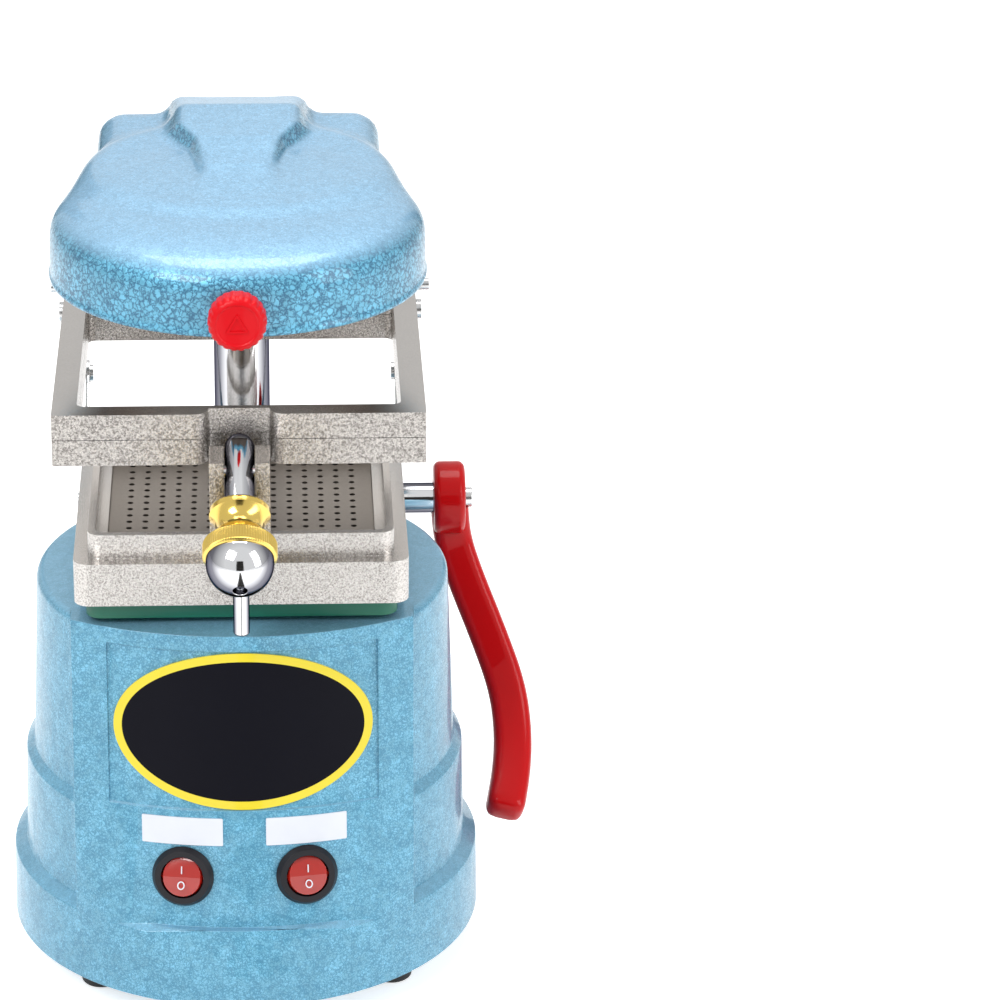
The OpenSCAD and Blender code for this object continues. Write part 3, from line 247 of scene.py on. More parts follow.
class Web:
    """Short calls for nodes and links in one tree."""

    def __init__(self, tree):
        self.tree = tree

    def node(self, kind, links=None, **facts):
        """A node with its own facts; each input takes a link from a socket, or a plain value."""
        made = self.tree.nodes.new(kind)
        for key, value in facts.items():
            setattr(made, key, value)
        for key, value in (links or {}).items():
            socket = made.inputs[key]
            if isinstance(value, bpy.types.NodeSocket):
                self.tree.links.new(value, socket)
            else:
                socket.default_value = value
        return made

    def math(self, operation, a, b=0.0, c=0.0, clamp=False):
        """One sum on up to three values."""
        return self.node("ShaderNodeMath", {0: a, 1: b, 2: c}, operation=operation, use_clamp=clamp).outputs[0]

    def mix(self, factor, a, b):
        """Colour a at factor 0 and colour b at factor 1."""
        made = self.node("ShaderNodeMix", {"Factor": factor}, data_type="RGBA")
        for key, value in (("A", a), ("B", b)):
            socket = [s for s in made.inputs if s.name == key and s.type == "RGBA"][0]
            if isinstance(value, bpy.types.NodeSocket):
                self.tree.links.new(value, socket)
            else:
                socket.default_value = (*value, 1)[:4]
        return [s for s in made.outputs if s.type == "RGBA"][0]

    def ramp(self, value, stops):
        """A grey ramp through (place, level) stops."""
        made = self.node("ShaderNodeValToRGB", {"Fac": value})
        ramp = made.color_ramp
        for k, (place, level) in enumerate(stops):
            stop = ramp.elements[k] if k < 2 else ramp.elements.new(place)
            stop.position = place
            stop.color = (level, level, level, 1)
        return made.outputs["Color"]


def hammer_group():
    """Hammered enamel: small cells of paint between thin dark veins, which follow the cells' bent edges and widen
    in patches. Each cell has its own brightness, wide puddles are lighter, and a fine metal flake lies over all."""
    tree, given, out = group("hammered enamel",
        [("Cell size", "NodeSocketFloat", 2.0), ("Vein", "NodeSocketFloat", 0.12),
            ("Vein strength", "NodeSocketFloat", 1.0)],
        [(label, "NodeSocketFloat") for label in ("Vein mask", "Cell tone", "Flake", "Puddle", "Height")])
    w = Web(tree)
    place = w.node("ShaderNodeTexCoord").outputs["Object"]
    scale = w.math("DIVIDE", 1000.0, given.outputs["Cell size"])
    warp = w.node("ShaderNodeTexNoise", {"Vector": place, "Scale": 380.0, "Detail": 5.0,
        "Roughness": 0.72}).outputs["Color"]
    shift = w.node("ShaderNodeVectorMath", {0: warp, 1: (0.5, 0.5, 0.5)}, operation="SUBTRACT").outputs[0]
    shift = w.node("ShaderNodeVectorMath", {0: shift, "Scale": 0.0042}, operation="SCALE").outputs[0]
    bent = w.node("ShaderNodeVectorMath", {0: place, 1: shift}, operation="ADD").outputs[0]
    edge = w.node("ShaderNodeTexVoronoi", {"Vector": bent, "Scale": scale},
        feature="DISTANCE_TO_EDGE").outputs["Distance"]
    cell = w.node("ShaderNodeTexVoronoi", {"Vector": bent, "Scale": scale}, feature="F1")
    patch = w.node("ShaderNodeTexNoise", {"Vector": place, "Scale": 260.0, "Detail": 4.0,
        "Roughness": 0.7}).outputs["Fac"]
    width = w.math("MULTIPLY", given.outputs["Vein"], w.math("MULTIPLY_ADD", patch, 4.4, -1.15))
    vein = w.math("SUBTRACT", 1.0, w.math("DIVIDE", edge, w.math("MAXIMUM", width, 0.001)), clamp=True)
    vein = w.math("SMOOTH_MIN", w.math("MULTIPLY", vein, 1.25), 1.0, 0.3)
    vein = w.math("MULTIPLY", vein, given.outputs["Vein strength"])
    tone = w.node("ShaderNodeSeparateColor", {"Color": cell.outputs["Color"]}).outputs[0]
    flake = w.node("ShaderNodeTexNoise", {"Vector": place, "Scale": 2600.0, "Detail": 2.0}).outputs["Fac"]
    spread = w.node("ShaderNodeTexNoise", {"Vector": place, "Scale": 95.0}).outputs["Fac"]
    puddle = w.ramp(spread, ((0.35, 0.0), (0.68, 1.0)))
    swell = w.ramp(edge, ((0.0, 0.0), (0.35, 1.0)))
    for label, made in (("Vein mask", vein), ("Cell tone", tone), ("Flake", flake), ("Puddle", puddle),
            ("Height", swell)):
        tree.links.new(made, out.inputs[label])
    return tree


def cast_group():
    """Sand-cast skin: fine pits and grains on upright faces, and a ground, almost smooth skin on level ones."""
    tree, given, out = group("cast skin",
        [("Grain", "NodeSocketFloat", 1.0), ("Level faces", "NodeSocketFloat", 0.25)],
        [("Grain mask", "NodeSocketFloat"), ("Patches", "NodeSocketFloat"), ("Height", "NodeSocketFloat")])
    w = Web(tree)
    place = w.node("ShaderNodeTexCoord").outputs["Object"]
    normal = w.node("ShaderNodeNewGeometry").outputs["True Normal"]
    up = w.math("ABSOLUTE", w.node("ShaderNodeSeparateXYZ", {"Vector": normal}).outputs["Z"])
    upright = w.ramp(up, ((0.55, 1.0), (0.85, 0.0)))
    fine = w.node("ShaderNodeTexNoise", {"Vector": place, "Scale": 2900.0, "Detail": 3.0,
        "Roughness": 0.7}).outputs["Fac"]
    coarse = w.node("ShaderNodeTexNoise", {"Vector": place, "Scale": 1300.0, "Detail": 2.0}).outputs["Fac"]
    grain = w.math("MULTIPLY", w.math("ADD", fine, coarse), 0.5)
    faced = w.math("ADD", upright, given.outputs["Level faces"])
    amount = w.math("MULTIPLY", given.outputs["Grain"], faced, clamp=True)
    mask = w.math("MULTIPLY", w.ramp(grain, ((0.40, 1.0), (0.56, 0.0))), amount)
    patches = w.node("ShaderNodeTexNoise", {"Vector": place, "Scale": 45.0, "Detail": 3.0}).outputs["Fac"]
    tree.links.new(mask, out.inputs["Grain mask"])
    tree.links.new(patches, out.inputs["Patches"])
    tree.links.new(w.math("MULTIPLY", grain, amount), out.inputs["Height"])
    return tree


def wear_group():
    """Handling marks: long fine scratches and soft smudges, as a factor for roughness."""
    tree, given, out = group("handling marks",
        [("Scratch scale", "NodeSocketFloat", 120.0), ("Stretch", "NodeSocketVector", (1.0, 1.0, 12.0))],
        [("Scratches", "NodeSocketFloat"), ("Smudges", "NodeSocketFloat")])
    w = Web(tree)
    place = w.node("ShaderNodeTexCoord").outputs["Object"]
    stretched = w.node("ShaderNodeVectorMath", {0: place, 1: given.outputs["Stretch"]}, operation="MULTIPLY").outputs[0]
    lines = w.node("ShaderNodeTexNoise", {"Vector": stretched, "Scale": given.outputs["Scratch scale"], "Detail": 6.0,
        "Roughness": 0.8}).outputs["Fac"]
    smudge = w.node("ShaderNodeTexNoise", {"Vector": place, "Scale": 38.0, "Detail": 4.0,
        "Roughness": 0.65}).outputs["Fac"]
    tree.links.new(w.ramp(lines, ((0.45, 0.0), (0.75, 1.0))), out.inputs["Scratches"])
    tree.links.new(w.ramp(smudge, ((0.4, 0.0), (0.7, 1.0))), out.inputs["Smudges"])
    return tree


HAMMER, CAST, WEAR = hammer_group(), cast_group(), wear_group()


def new_material(name, **facts):
    """A material with one Principled shader; facts set its own sockets."""
    material = bpy.data.materials.new(name)
    material.use_nodes = True
    shader = next(n for n in material.node_tree.nodes if n.type == "BSDF_PRINCIPLED")
    for key, value in facts.items():
        shader.inputs[key.replace("_", " ")].default_value = value
    return material, Web(material.node_tree), shader


def bump(web, shader, height, strength, depth):
    """Relief on the shader's normal; depth is in millimetres."""
    made = web.node("ShaderNodeBump", {"Height": height, "Strength": strength, "Distance": depth * MM})
    web.tree.links.new(made.outputs["Normal"], shader.inputs["Normal"])


def hammered(name, light, dark, cell, vein, strength, top, rough=0.3):
    """Blue hammered enamel. Where it faces up the cells are finer and the veins faint, and the colour goes to top,
    a paler tone that is a painted highlight for the light falling from above."""
    material, w, shader = new_material(name, Coat_Weight=0.6, Coat_Roughness=0.12)
    up = w.node("ShaderNodeSeparateXYZ", {"Vector": w.node("ShaderNodeNewGeometry").outputs["Normal"]}).outputs["Z"]
    level = w.ramp(up, ((0.55, 0.0), (0.93, 1.0)))
    layers = []
    for size, width, force in ((cell, vein, strength), (cell * 0.55, vein * 0.9, strength * 0.55)):
        made = w.node("ShaderNodeGroup", {}, node_tree=HAMMER)
        for key, value in (("Cell size", size), ("Vein", width), ("Vein strength", force)):
            made.inputs[key].default_value = value
        layers.append(made.outputs)
    side, flat = layers

    def tone(layer, colour, pooled):
        """The colour from a darker to a lighter shade, by the cell, the flake and pooled times the wide puddles."""
        shade = w.math("MULTIPLY_ADD", layer["Puddle"], pooled, w.math("MULTIPLY", layer["Flake"], 0.3))
        shade = w.math("MULTIPLY_ADD", layer["Cell tone"], 0.3, w.math("ADD", shade, 0.3 - pooled))
        return w.mix(shade, tuple(c * 0.68 for c in colour), tuple(min(1, c * 1.3 + 0.03) for c in colour))

    steep = w.mix(side["Vein mask"], tone(side, light, 0.3), dark)
    # Up-facing faces take the paler top colour: painted light falling from above.
    lit_top_tone = w.mix(flat["Vein mask"], tone(flat, top, 0.03), tuple(c * 0.5 for c in top))
    w.tree.links.new(w.mix(level, steep, lit_top_tone), shader.inputs["Base Color"])
    w.tree.links.new(w.math("MULTIPLY_ADD", level, 0.14, w.math("MULTIPLY_ADD", side["Vein mask"], 0.2, rough)),
        shader.inputs["Roughness"])
    w.tree.links.new(w.math("MULTIPLY_ADD", side["Cell tone"], 0.1, 0.45), shader.inputs["Metallic"])
    bump(w, shader, w.math("MULTIPLY", side["Height"], w.math("MULTIPLY_ADD", level, -0.75, 1.0)), 0.6, 0.2)
    return material


def cast_metal(name, colour, dark, rough, grain, level):
    """Nickel plate over sand-cast metal, with dark pits."""
    material, w, shader = new_material(name, Metallic=1.0)
    made = w.node("ShaderNodeGroup", {}, node_tree=CAST)
    made.inputs["Grain"].default_value = grain
    made.inputs["Level faces"].default_value = level
    tone = w.mix(w.math("MULTIPLY", made.outputs["Patches"], 0.5), colour, tuple(c * 0.86 for c in colour))
    tone = w.mix(w.math("MULTIPLY", made.outputs["Grain mask"], 0.75), tone, dark)
    w.tree.links.new(tone, shader.inputs["Base Color"])
    w.tree.links.new(w.math("MULTIPLY_ADD", made.outputs["Height"], 0.16, rough), shader.inputs["Roughness"])
    bump(w, shader, made.outputs["Height"], 0.7, 0.35)
    return material


def metal(name, colour, rough, scratch=0.08, stretch=(1.0, 1.0, 14.0), scale=160.0, edge=None):
    """Plain worked metal: its roughness follows handling marks. At grazing angles it takes on the colour edge, a
    painted dark reflection.
    """
    material, w, shader = new_material(name, Metallic=1.0)
    made = w.node("ShaderNodeGroup", {}, node_tree=WEAR)
    made.inputs["Scratch scale"].default_value = scale
    made.inputs["Stretch"].default_value = stretch
    marks = w.math("ADD", made.outputs["Scratches"], w.math("MULTIPLY", made.outputs["Smudges"], 0.6))
    w.tree.links.new(w.math("MULTIPLY_ADD", marks, scratch, rough), shader.inputs["Roughness"])
    tone = w.mix(w.math("MULTIPLY", made.outputs["Smudges"], 0.35), colour, tuple(c * 0.88 for c in colour))
    # edge is a painted dark reflection: colour and specular tint go dark at grazing angles, as on polished metal
    # mirroring dark surroundings.
    if edge:
        grazing_painted_reflection = w.node("ShaderNodeLayerWeight", {"Blend": 0.5}).outputs["Facing"]
        tone = w.mix(w.ramp(grazing_painted_reflection, ((0.1, 0.0), (0.42, 1.0))), tone, edge)
        shader.inputs["Specular Tint"].default_value = (*edge, 1.0)
    w.tree.links.new(tone, shader.inputs["Base Color"])
    bump(w, shader, made.outputs["Scratches"], 0.12, 0.02)
    return material


def moulded(name, colour, rough, coat, grain, **facts):
    """Moulded or painted skin: a fine grain, soft smudges and a little unevenness of colour."""
    material, w, shader = new_material(name, Coat_Weight=coat, Coat_Roughness=0.05, **facts)
    made = w.node("ShaderNodeGroup", {}, node_tree=WEAR)
    place = w.node("ShaderNodeTexCoord").outputs["Object"]
    skin = w.node("ShaderNodeTexNoise", {"Vector": place, "Scale": 900.0, "Detail": 3.0}).outputs["Fac"]
    w.tree.links.new(w.mix(w.math("MULTIPLY", made.outputs["Smudges"], 0.3), colour, tuple(c * 0.82 for c in colour)),
        shader.inputs["Base Color"])
    w.tree.links.new(w.math("MULTIPLY_ADD", made.outputs["Smudges"], 0.09, rough), shader.inputs["Roughness"])
    bump(w, shader, skin, 0.3, grain)
    return material


# The last colour of each enamel is its paler top: a painted highlight on the faces that look up to the light.
BLUE_HOOD = hammered("hood enamel", (0.12, 0.44, 0.64), (0.012, 0.10, 0.20), 2.1, 0.15, 0.9, (0.27, 0.50, 0.70))
BLUE_BASE = hammered("base enamel", (0.16, 0.46, 0.64), (0.035, 0.20, 0.34), 1.15, 0.17, 0.75, (0.22, 0.48, 0.66), 0.34)
NICKEL = cast_metal("nickel casting", (0.64, 0.61, 0.58), (0.10, 0.085, 0.075), 0.17, 1.0, 0.08)
TRAY_METAL = cast_metal("tray casting", (0.68, 0.655, 0.63), (0.17, 0.15, 0.135), 0.2, 0.75, 0.1)
PLATE = cast_metal("plate", (0.38, 0.345, 0.31), (0.15, 0.125, 0.105), 0.3, 0.5, 0.4)
# Chrome's edge colour is a painted dark reflection on its flanks.
CHROME = metal("chrome", (0.88, 0.89, 0.91), 0.05, 0.05, edge=(0.21, 0.21, 0.24))
STEEL = metal("bright steel", (0.72, 0.72, 0.72), 0.2, 0.12)
DULL_STEEL = metal("dull steel", (0.45, 0.45, 0.47), 0.36, 0.15)
BRASS = metal("brass", (0.86, 0.62, 0.16), 0.13, 0.10, (1.0, 1.0, 1.0), 240.0)
TARNISHED = metal("heat-stained steel", (0.17, 0.14, 0.12), 0.3, 0.2, (1.0, 1.0, 1.0), 60.0)
BRONZE = metal("bronze", (0.62, 0.45, 0.24), 0.3, 0.12)
RED = moulded("red enamel", (0.60, 0.0, 0.002), 0.35, 0.28, 0.03, Specular_IOR_Level=0.12)
RED_PLASTIC = moulded("red knob", (0.70, 0.0, 0.006), 0.4, 0.1, 0.05, Specular_IOR_Level=0.2)
RUBBER = moulded("black rubber", (0.012, 0.012, 0.013), 0.55, 0.0, 0.06)
GREEN = moulded("green rubber", (0.0, 0.13, 0.075), 0.42, 0.1, 0.07)
BLACK = moulded("black moulding", (0.008, 0.008, 0.012), 0.4, 0.08, 0.03, Specular_IOR_Level=0.3)
BLACK_PLATE = moulded("black plate", (0.004, 0.004, 0.008), 0.5, 0.0, 0.02, Specular_IOR_Level=0.1)
YELLOW = moulded("yellow print", (0.86, 0.70, 0.02), 0.3, 0.4, 0.02)
WHITE = moulded("white print", (0.80, 0.83, 0.90), 0.4, 0.2, 0.02)
CERAMIC = moulded("ceramic", (0.76, 0.72, 0.64), 0.6, 0.0, 0.08)
CREAM = moulded("cream moulding", (0.68, 0.65, 0.55), 0.45, 0.1, 0.04)
LAMP_RED = moulded("red lens", (0.62, 0.02, 0.01), 0.1, 0.6, 0.02, Transmission_Weight=0.35, IOR=1.5)
CORD = moulded("cord rubber", (0.012, 0.012, 0.014), 0.42, 0.1, 0.05)

# ---------------------------------------------------------------- the mains cord
CORD_ROUTE = [[41, 95, 16.5], [41, 102, 16.5], [41.5, 109, 14.8], [43.5, 116, 11], [48, 123, 6.5], [54, 130, 3.6],
    [61, 137.5, 3], [66.5, 145.5, 3], [67, 154, 3], [64.9, 166, 3], [63, 178, 3]]
TAIL_ROUTE = [[63, 178, 9.5], [63, 184, 9.5], [62.4, 192, 9.4], [60, 202, 8.4], [55, 212, 6], [47, 220, 3.9],
    [37, 226, 3.2], [26, 229.5, 3.6], [14, 230, 5], [4, 228, 6.6], [-4, 224, 7], [-10, 221, 7]]
COIL_TURNS, COIL_OUT, COIL_LAYER, COIL_X, COIL_Y = 5, 41.0, 6.5, 22.0, 178.0
CORD_D = 6.0


def corner_cut(points):
    """Each stretch of a polyline keeps its middle half, so that its corners are cut; the ends stay."""
    p = np.asarray(points, float)
    a, b = p[:-1], p[1:]
    inner = np.stack([a * 0.75 + b * 0.25, a * 0.25 + b * 0.75], 1).reshape(-1, 3)
    return np.concatenate([p[:1], inner, p[-1:]])


def coil_line():
    """The coil's centreline: it winds in along the floor, climbs one layer, and winds out again."""
    t = np.linspace(0, COIL_TURNS, 48 * COIL_TURNS + 1)
    half = COIL_TURNS / 2
    inner = COIL_OUT - half * COIL_LAYER
    r = inner + (COIL_OUT - inner) * np.abs(t - half) / half
    up = np.clip((t - half + 0.25) * 2, 0, 1)
    return np.stack([COIL_X + r * np.cos(TAU * t), COIL_Y + r * np.sin(TAU * t), CORD_D / 2 + COIL_LAYER * up], 1)


def spaced(path, step):
    """A polyline's points moved to equal steps of length."""
    length = np.concatenate([[0], np.cumsum(np.linalg.norm(np.diff(path, axis=0), axis=1))])
    places = np.linspace(0, length[-1], int(length[-1] / step) + 1)
    return np.stack([np.interp(places, length, path[:, k]) for k in range(3)], 1)


def calmed(line, times):
    """A line whose inner points move, so many times, to a quarter of each neighbour and half of themselves."""
    for _ in range(times):
        line[1:-1] = (line[:-2] + 2 * line[1:-1] + line[2:]) / 4
    return line


def add_cord():
    """The cord's round section swept along its route, its coil and its tail as one tube."""
    line = np.concatenate([corner_cut(corner_cut(CORD_ROUTE))[:-1], coil_line()[1:-1],
        corner_cut(corner_cut(TAIL_ROUTE))[1:]])
    line = calmed(spaced(line, 1.6), 6)
    t = np.linspace(0, TAU, 12, endpoint=False)
    section = np.stack([np.cos(t), np.sin(t)], 1) * CORD_D / 2
    cord = swept("mains_lead", line, section, (0.001, 0.0, 1.0), CORD, "base", ("mains_cord", "cord_coil"))


plug_skin = softened("mains_plug", BLACK, 0.8, 3)
add_cord()

# ---------------------------------------------------------------- finishes of the solids that stay
FINISH = {
    "bottom_cover": BLACK_PLATE, "cover_screws": STEEL, "perforated_plate": PLATE, "tray_screws": STEEL,
    "column_set_screw": DULL_STEEL, "shaft_bushes": BRONZE, "fan_case": DULL_STEEL, "motor_stator": DULL_STEEL,
    "motor_end_cap": BLACK, "motor_bearings": STEEL, "motor_cradle": DULL_STEEL, "inlet_seal": RUBBER,
    "motor_rotor": DULL_STEEL, "fan_impeller": STEEL, "terminal_block": CREAM, "heater_lead": CORD, "hub_screws": STEEL,
    "heater_disc": CERAMIC, "heating_wire": DULL_STEEL, "plug_pins": STEEL, "head_hub": DULL_STEEL,
    "bolt_pivot_pin": STEEL, "hinge_pins": STEEL, "link_screws": STEEL, "knee_pins": STEEL,
}
for node, material in FINISH.items():
    mesh = nodes[node].data
    mesh.materials.clear()
    mesh.materials.append(material)

# ---------------------------------------------------------------- pieces that stand for plain solids
# Each solid's finish, the width of its rounded edges and their count of segments
ROUNDED = {
    "tray_body": (TRAY_METAL, 0.7, 2), "tray_gasket": (GREEN, 0.6, 2), "lower_frame": (NICKEL, 0.7, 2),
    "upper_frame": (NICKEL, 0.7, 2), "reflector_pan": (TARNISHED, 0.3, 1), "pan_domes": (STEEL, 0.2, 1),
    "crank_plates": (STEEL, 0.25, 1), "link_right": (STEEL, 0.25, 1), "link_left": (STEEL, 0.25, 1),
    "rear_plate": (BLACK_PLATE, 0.2, 1), "switch_bodies": (BLACK, 0.3, 2), "vacuum_rocker": (LAMP_RED, 0.4, 2),
    "heater_rocker": (LAMP_RED, 0.4, 2), "cord_gland": (RUBBER, 0.4, 2), "rubber_feet": (RUBBER, 0.4, 2),
    "shaft_end_screws": (STEEL, 0.4, 2), "support_collar": (STEEL, 0.4, 2), "guide_column": (CHROME, 0.0, 2),
    "cross_shaft": (CHROME, 0.3, 2), "guide_rod": (CHROME, 0.3, 2), "swing_bolt": (CHROME, 0.2, 2),
    "bolt_ball": (CHROME, 0.3, 2), "frame_set_screw": (DULL_STEEL, 0.2, 1),
}
softened("base_housing", BLUE_BASE, 0.4, 2, clamp=False)
for node, (finish, width, segments) in ROUNDED.items():
    softened(node, finish, width, segments)


# ---------------------------------------------------------------- the hood
def smooth_least(a, b, k):
    """The lesser of two distances, with the crease between them filled over a width k."""
    h = np.clip(0.5 + 0.5 * (b - a) / k, 0, 1)
    return b * (1 - h) + a * h - k * h * (1 - h)


def smooth_most(a, b, k):
    """The greater of two distances, with its crease filled over a width k."""
    return -smooth_least(-a, -b, k)


def hood_distance(p):
    """About how far a point lies outside the hood. The hood joins four forms with fillets: a dome, where
    (r / 69.1)^4.5 + (h / 21.3)^4.5 = 1 at radius r and height h over its upright foot; a round heel of radius wide; a
    rounded block; and a ridge with half width half and height top, both given by y."""
    foot, dome_rise, power = 8, 21.3, 4.5
    heel_y, heel_r, heel_top, heel_round = 32, 60, 28.6, 9
    block_y, block_half_w, block_half_l, block_top, block_rounds = 57.2, 54.5, 60.8, 24, (11, 11, 9)
    ridge_front, ridge_rear = -10, 116.4
    x, y, z = np.abs(p[..., 0]), p[..., 1], p[..., 2]
    r, h = np.hypot(x, y - HOOD_Y), np.maximum(z - foot, 0)
    full = ((r / (HOOD_R - 1.4)) ** power + (h / dome_rise) ** power) ** (1 / power)
    dome = (full - 1) * np.hypot(r, h) / np.maximum(full, 0.05)
    wide = heel_r - 5 * np.clip(1 - z / 14, 0, 1) ** 2
    q = np.stack([np.hypot(x, y - heel_y) - wide, z - heel_top], -1) + heel_round
    heel = np.linalg.norm(np.maximum(q, 0), axis=-1) + np.minimum(q.max(-1), 0) - heel_round
    q = np.stack([x - block_half_w, np.abs(y - block_y) - block_half_l, z - block_top], -1) + block_rounds
    squash = block_rounds[0] / np.array(block_rounds)
    block = np.linalg.norm(np.maximum(q, 0) * squash, axis=-1) + np.minimum(q.max(-1), 0) - block_rounds[0]
    half = np.minimum(np.interp(y, [-6, 20, 45, 70, 116.5], [10, 13, 17, 27, 29.5]),
        np.interp(z, [0, 14, 30, 45], [30, 30, 26, 20]))
    top = np.interp(y, [-10, 20, 45, 80, 109, 116.5], [26.5, 33.5, 36.2, 37.3, 31, 22])
    ridge = smooth_most(smooth_most(smooth_most(x - half, z - top, 4.0), y - ridge_rear, 3.0), ridge_front - y, 3.0)
    rear = smooth_least(smooth_least(block, heel, 11.0), ridge, 6.0)
    return smooth_least(dome, rear, 8.0)


def add_hood():
    """Rays leave a point on the base plane in even steps of bearing and height; each ends where hood_distance is nil,
    found by halving. The skin runs over those ends, turns under the rim's bead and comes back inside, wall within."""
    wall, bead_top = 2.9, 2.6
    bearing = np.linspace(0, TAU, 360, endpoint=False)
    rise = np.concatenate([np.linspace(0, 24, 22, endpoint=False), np.linspace(24, 90, 70)]) * math.pi / 180
    e, b = np.meshgrid(rise, bearing, indexing="ij")
    ray = np.stack([np.cos(e) * np.sin(b), np.cos(e) * np.cos(b), np.sin(e)], -1)
    start = np.array([0, 24.0, 0])
    near, far = np.zeros(e.shape), np.full(e.shape, 150.0)
    for _ in range(34):
        middle = (near + far) / 2
        inside = hood_distance(start + ray * middle[..., None]) < 0
        near, far = np.where(inside, middle, near), np.where(inside, far, middle)
    skin = start + ray * near[..., None]
    out = ray[0]
    rim = np.stack([skin[0] + out * d + (0, 0, z) for d, z in ((0.1 - wall, 0), (-0.3, 0), (0.35, 0.25), (0.55, 0.9),
        (0.5, 1.6), (0.05, 2.2))])
    above = skin[:, 0, 2] > bead_top
    body = skin[above]
    inner = (start + ray * (near[..., None] - wall))[above]
    rows = np.concatenate([inner[::-1], rim, body])
    rows[..., 2] = np.maximum(rows[..., 2], 0)
    points = rows.reshape(-1, 3) + (0, 0, HEAD_Z)
    piece("hood_skin", at(points), grid_faces(len(rows), 360), BLUE_HOOD, "head", ("heater_hood",), sharp=80)


add_hood()


def add_knob():
    """A round knob with a domed rim, a raised triangle on its face, and finger flutes 0.42 sin(11 t)^4 deep."""
    base, out = (0.0, HOOD_Y - HOOD_R + 0.4, HEAD_Z + KNOB_UP), (0, -1, 0)
    profile = eased([(0, 0), (8.2, 0), (9.6, 1.2), (10.5, 3.2), (10.5, 8.4), (9.4, 10.5), (7.8, 11.2), (7.3, 10.7),
        (0, 10.5)], 0.8, 5)

    def flutes(t, h):
        """How far the radius dips at angle t, fading towards the foot and the rim."""
        return -0.42 * np.sin(11 * t) ** 4 * np.clip((h - 1.2) / 2, 0, 1) * np.clip((10.8 - h) / 1.5, 0, 1)

    turned("knob_body", profile, base, out, RED_PLASTIC, "head", ("head_knob",), 264, flutes)
    corners = np.array([(math.sin(a), math.cos(a)) for a in np.radians([0, 120, 240])])
    outer, inner = eased(corners * 4.8, 0.9, 5, closed=True), eased(corners * 3.3, 0.5, 5, closed=True)
    rows = []
    for edge, h in ((outer, 10.3), (outer, 11.0), (inner, 11.0), (inner, 10.3), (outer, 10.3)):
        rows.append(np.stack([edge[:, 0], np.full(len(edge), base[1] - h), edge[:, 1] - 0.5 + base[2]], 1))
    mark = piece("knob_triangle", at(np.concatenate(rows)), grid_faces(5, len(outer)), RED_PLASTIC, "head")


add_knob()


# ---------------------------------------------------------------- lever, nut and rocker marks
LEVER_PATH = [[82, 80, 142], [83, 80, 128], [88, 76, 113], [97, 67, 92], [104.5, 57, 73], [106.5, 46, 59],
    [105.5, 33, 48], [102, 17, 38]]


def add_lever():
    """A bar of rounded rectangular section along the lever's line, and its turned hub. Over the last tip millimetres
    the section shrinks by 0.42 (1 - sqrt(1 - (1 - left / tip)^2)), where left is what remains of the line."""
    line = corner_cut(corner_cut(LEVER_PATH))
    end = line[-1] - line[-2]
    step, tip = 1.2, 5
    line = calmed(spaced(np.concatenate([line, [line[-1] + end / np.linalg.norm(end) * 2.5]]), step), 4)
    corners = np.array([(7.5, 6.5), (-7.5, 6.5), (-7.5, -6.5), (7.5, -6.5)])
    section = eased(corners, 4.4, 8, closed=True)
    left = np.arange(len(line))[::-1] * step
    shrink = 1 - 0.42 * (1 - np.sqrt(1 - (1 - np.clip(left / tip, 0, 1)) ** 2))
    sections = section[None] * shrink[:, None, None]
    swept("lever_arm", line, sections, (0.0, 1.0, -0.3), RED, "lever", ("hand_lever",), 40)
    profile = eased([(6, 0), (12.9, 0), (14.5, 1.6), (14.5, 10.9), (12.7, 12.5), (8.2, 12.5), (7.6, 12.0), (6, 12.0)],
        1.5, 6, closed=True)
    turned("lever_hub", profile, (75.5, *SHAFT), (1, 0, 0), RED, "lever", ("hand_lever",), 96, sharp=40, ring=True)


add_lever()


def add_nut():
    """The nut's body, turned round the bolt: its waist dips by 2.3 sin(pi t)^0.9, and the flange that holds the ball
    has ribs 0.26 |sin 42 a| high."""
    out = (0, -math.cos(BOLT_DROP), -math.sin(BOLT_DROP))
    base = np.array([0, *PIVOT])
    back, face = 16.2, 37.5
    t = np.linspace(0, 1, 24)
    waist = np.stack([11.0 - 2.3 * np.sin(math.pi * t) ** 0.9 - 0.1 * t, back + 3 + t * 10.6], 1)
    rear = eased([(4.1, back), (10.0, back), (11.0, back + 0.8), (11.1, back + 2.4)], 0.5, 4)[:-1]
    flange = eased([(11.2, face - 7.3), (12.9, face - 6.8), (13.1, face - 6.2), (13.1, face - 0.9), (12.5, face),
        (11.6, face), (10.9, face - 1.2), (9.0, face - 4.0), (4.1, face - 7.6)], 0.4, 4)
    outer = np.concatenate([rear, waist, flange])

    def ribs(a, h):
        """How far the radius grows at angle a, on the flange alone."""
        within = np.clip((h - face + 6.6) / 0.5, 0, 1) * np.clip((face - 0.4 - h) / 0.5, 0, 1)
        return 0.26 * np.abs(np.sin(42 * a)) * within

    turned("nut_body", outer, base, out, BRASS, "bolt_nut", ("clamp_nut",), 336, ribs, 32, ring=True)


add_nut()


def printed_band(inner, outer, tilt):
    """A flat band between two closed outlines, just proud of the rocker's top and turned by tilt degrees about x."""
    flat = np.concatenate([inner, outer])
    flat = np.concatenate([flat, np.full((len(flat), 1), 3.46)], 1)
    return flat @ np.array(Matrix.Rotation(math.radians(tilt), 3, "X")).T


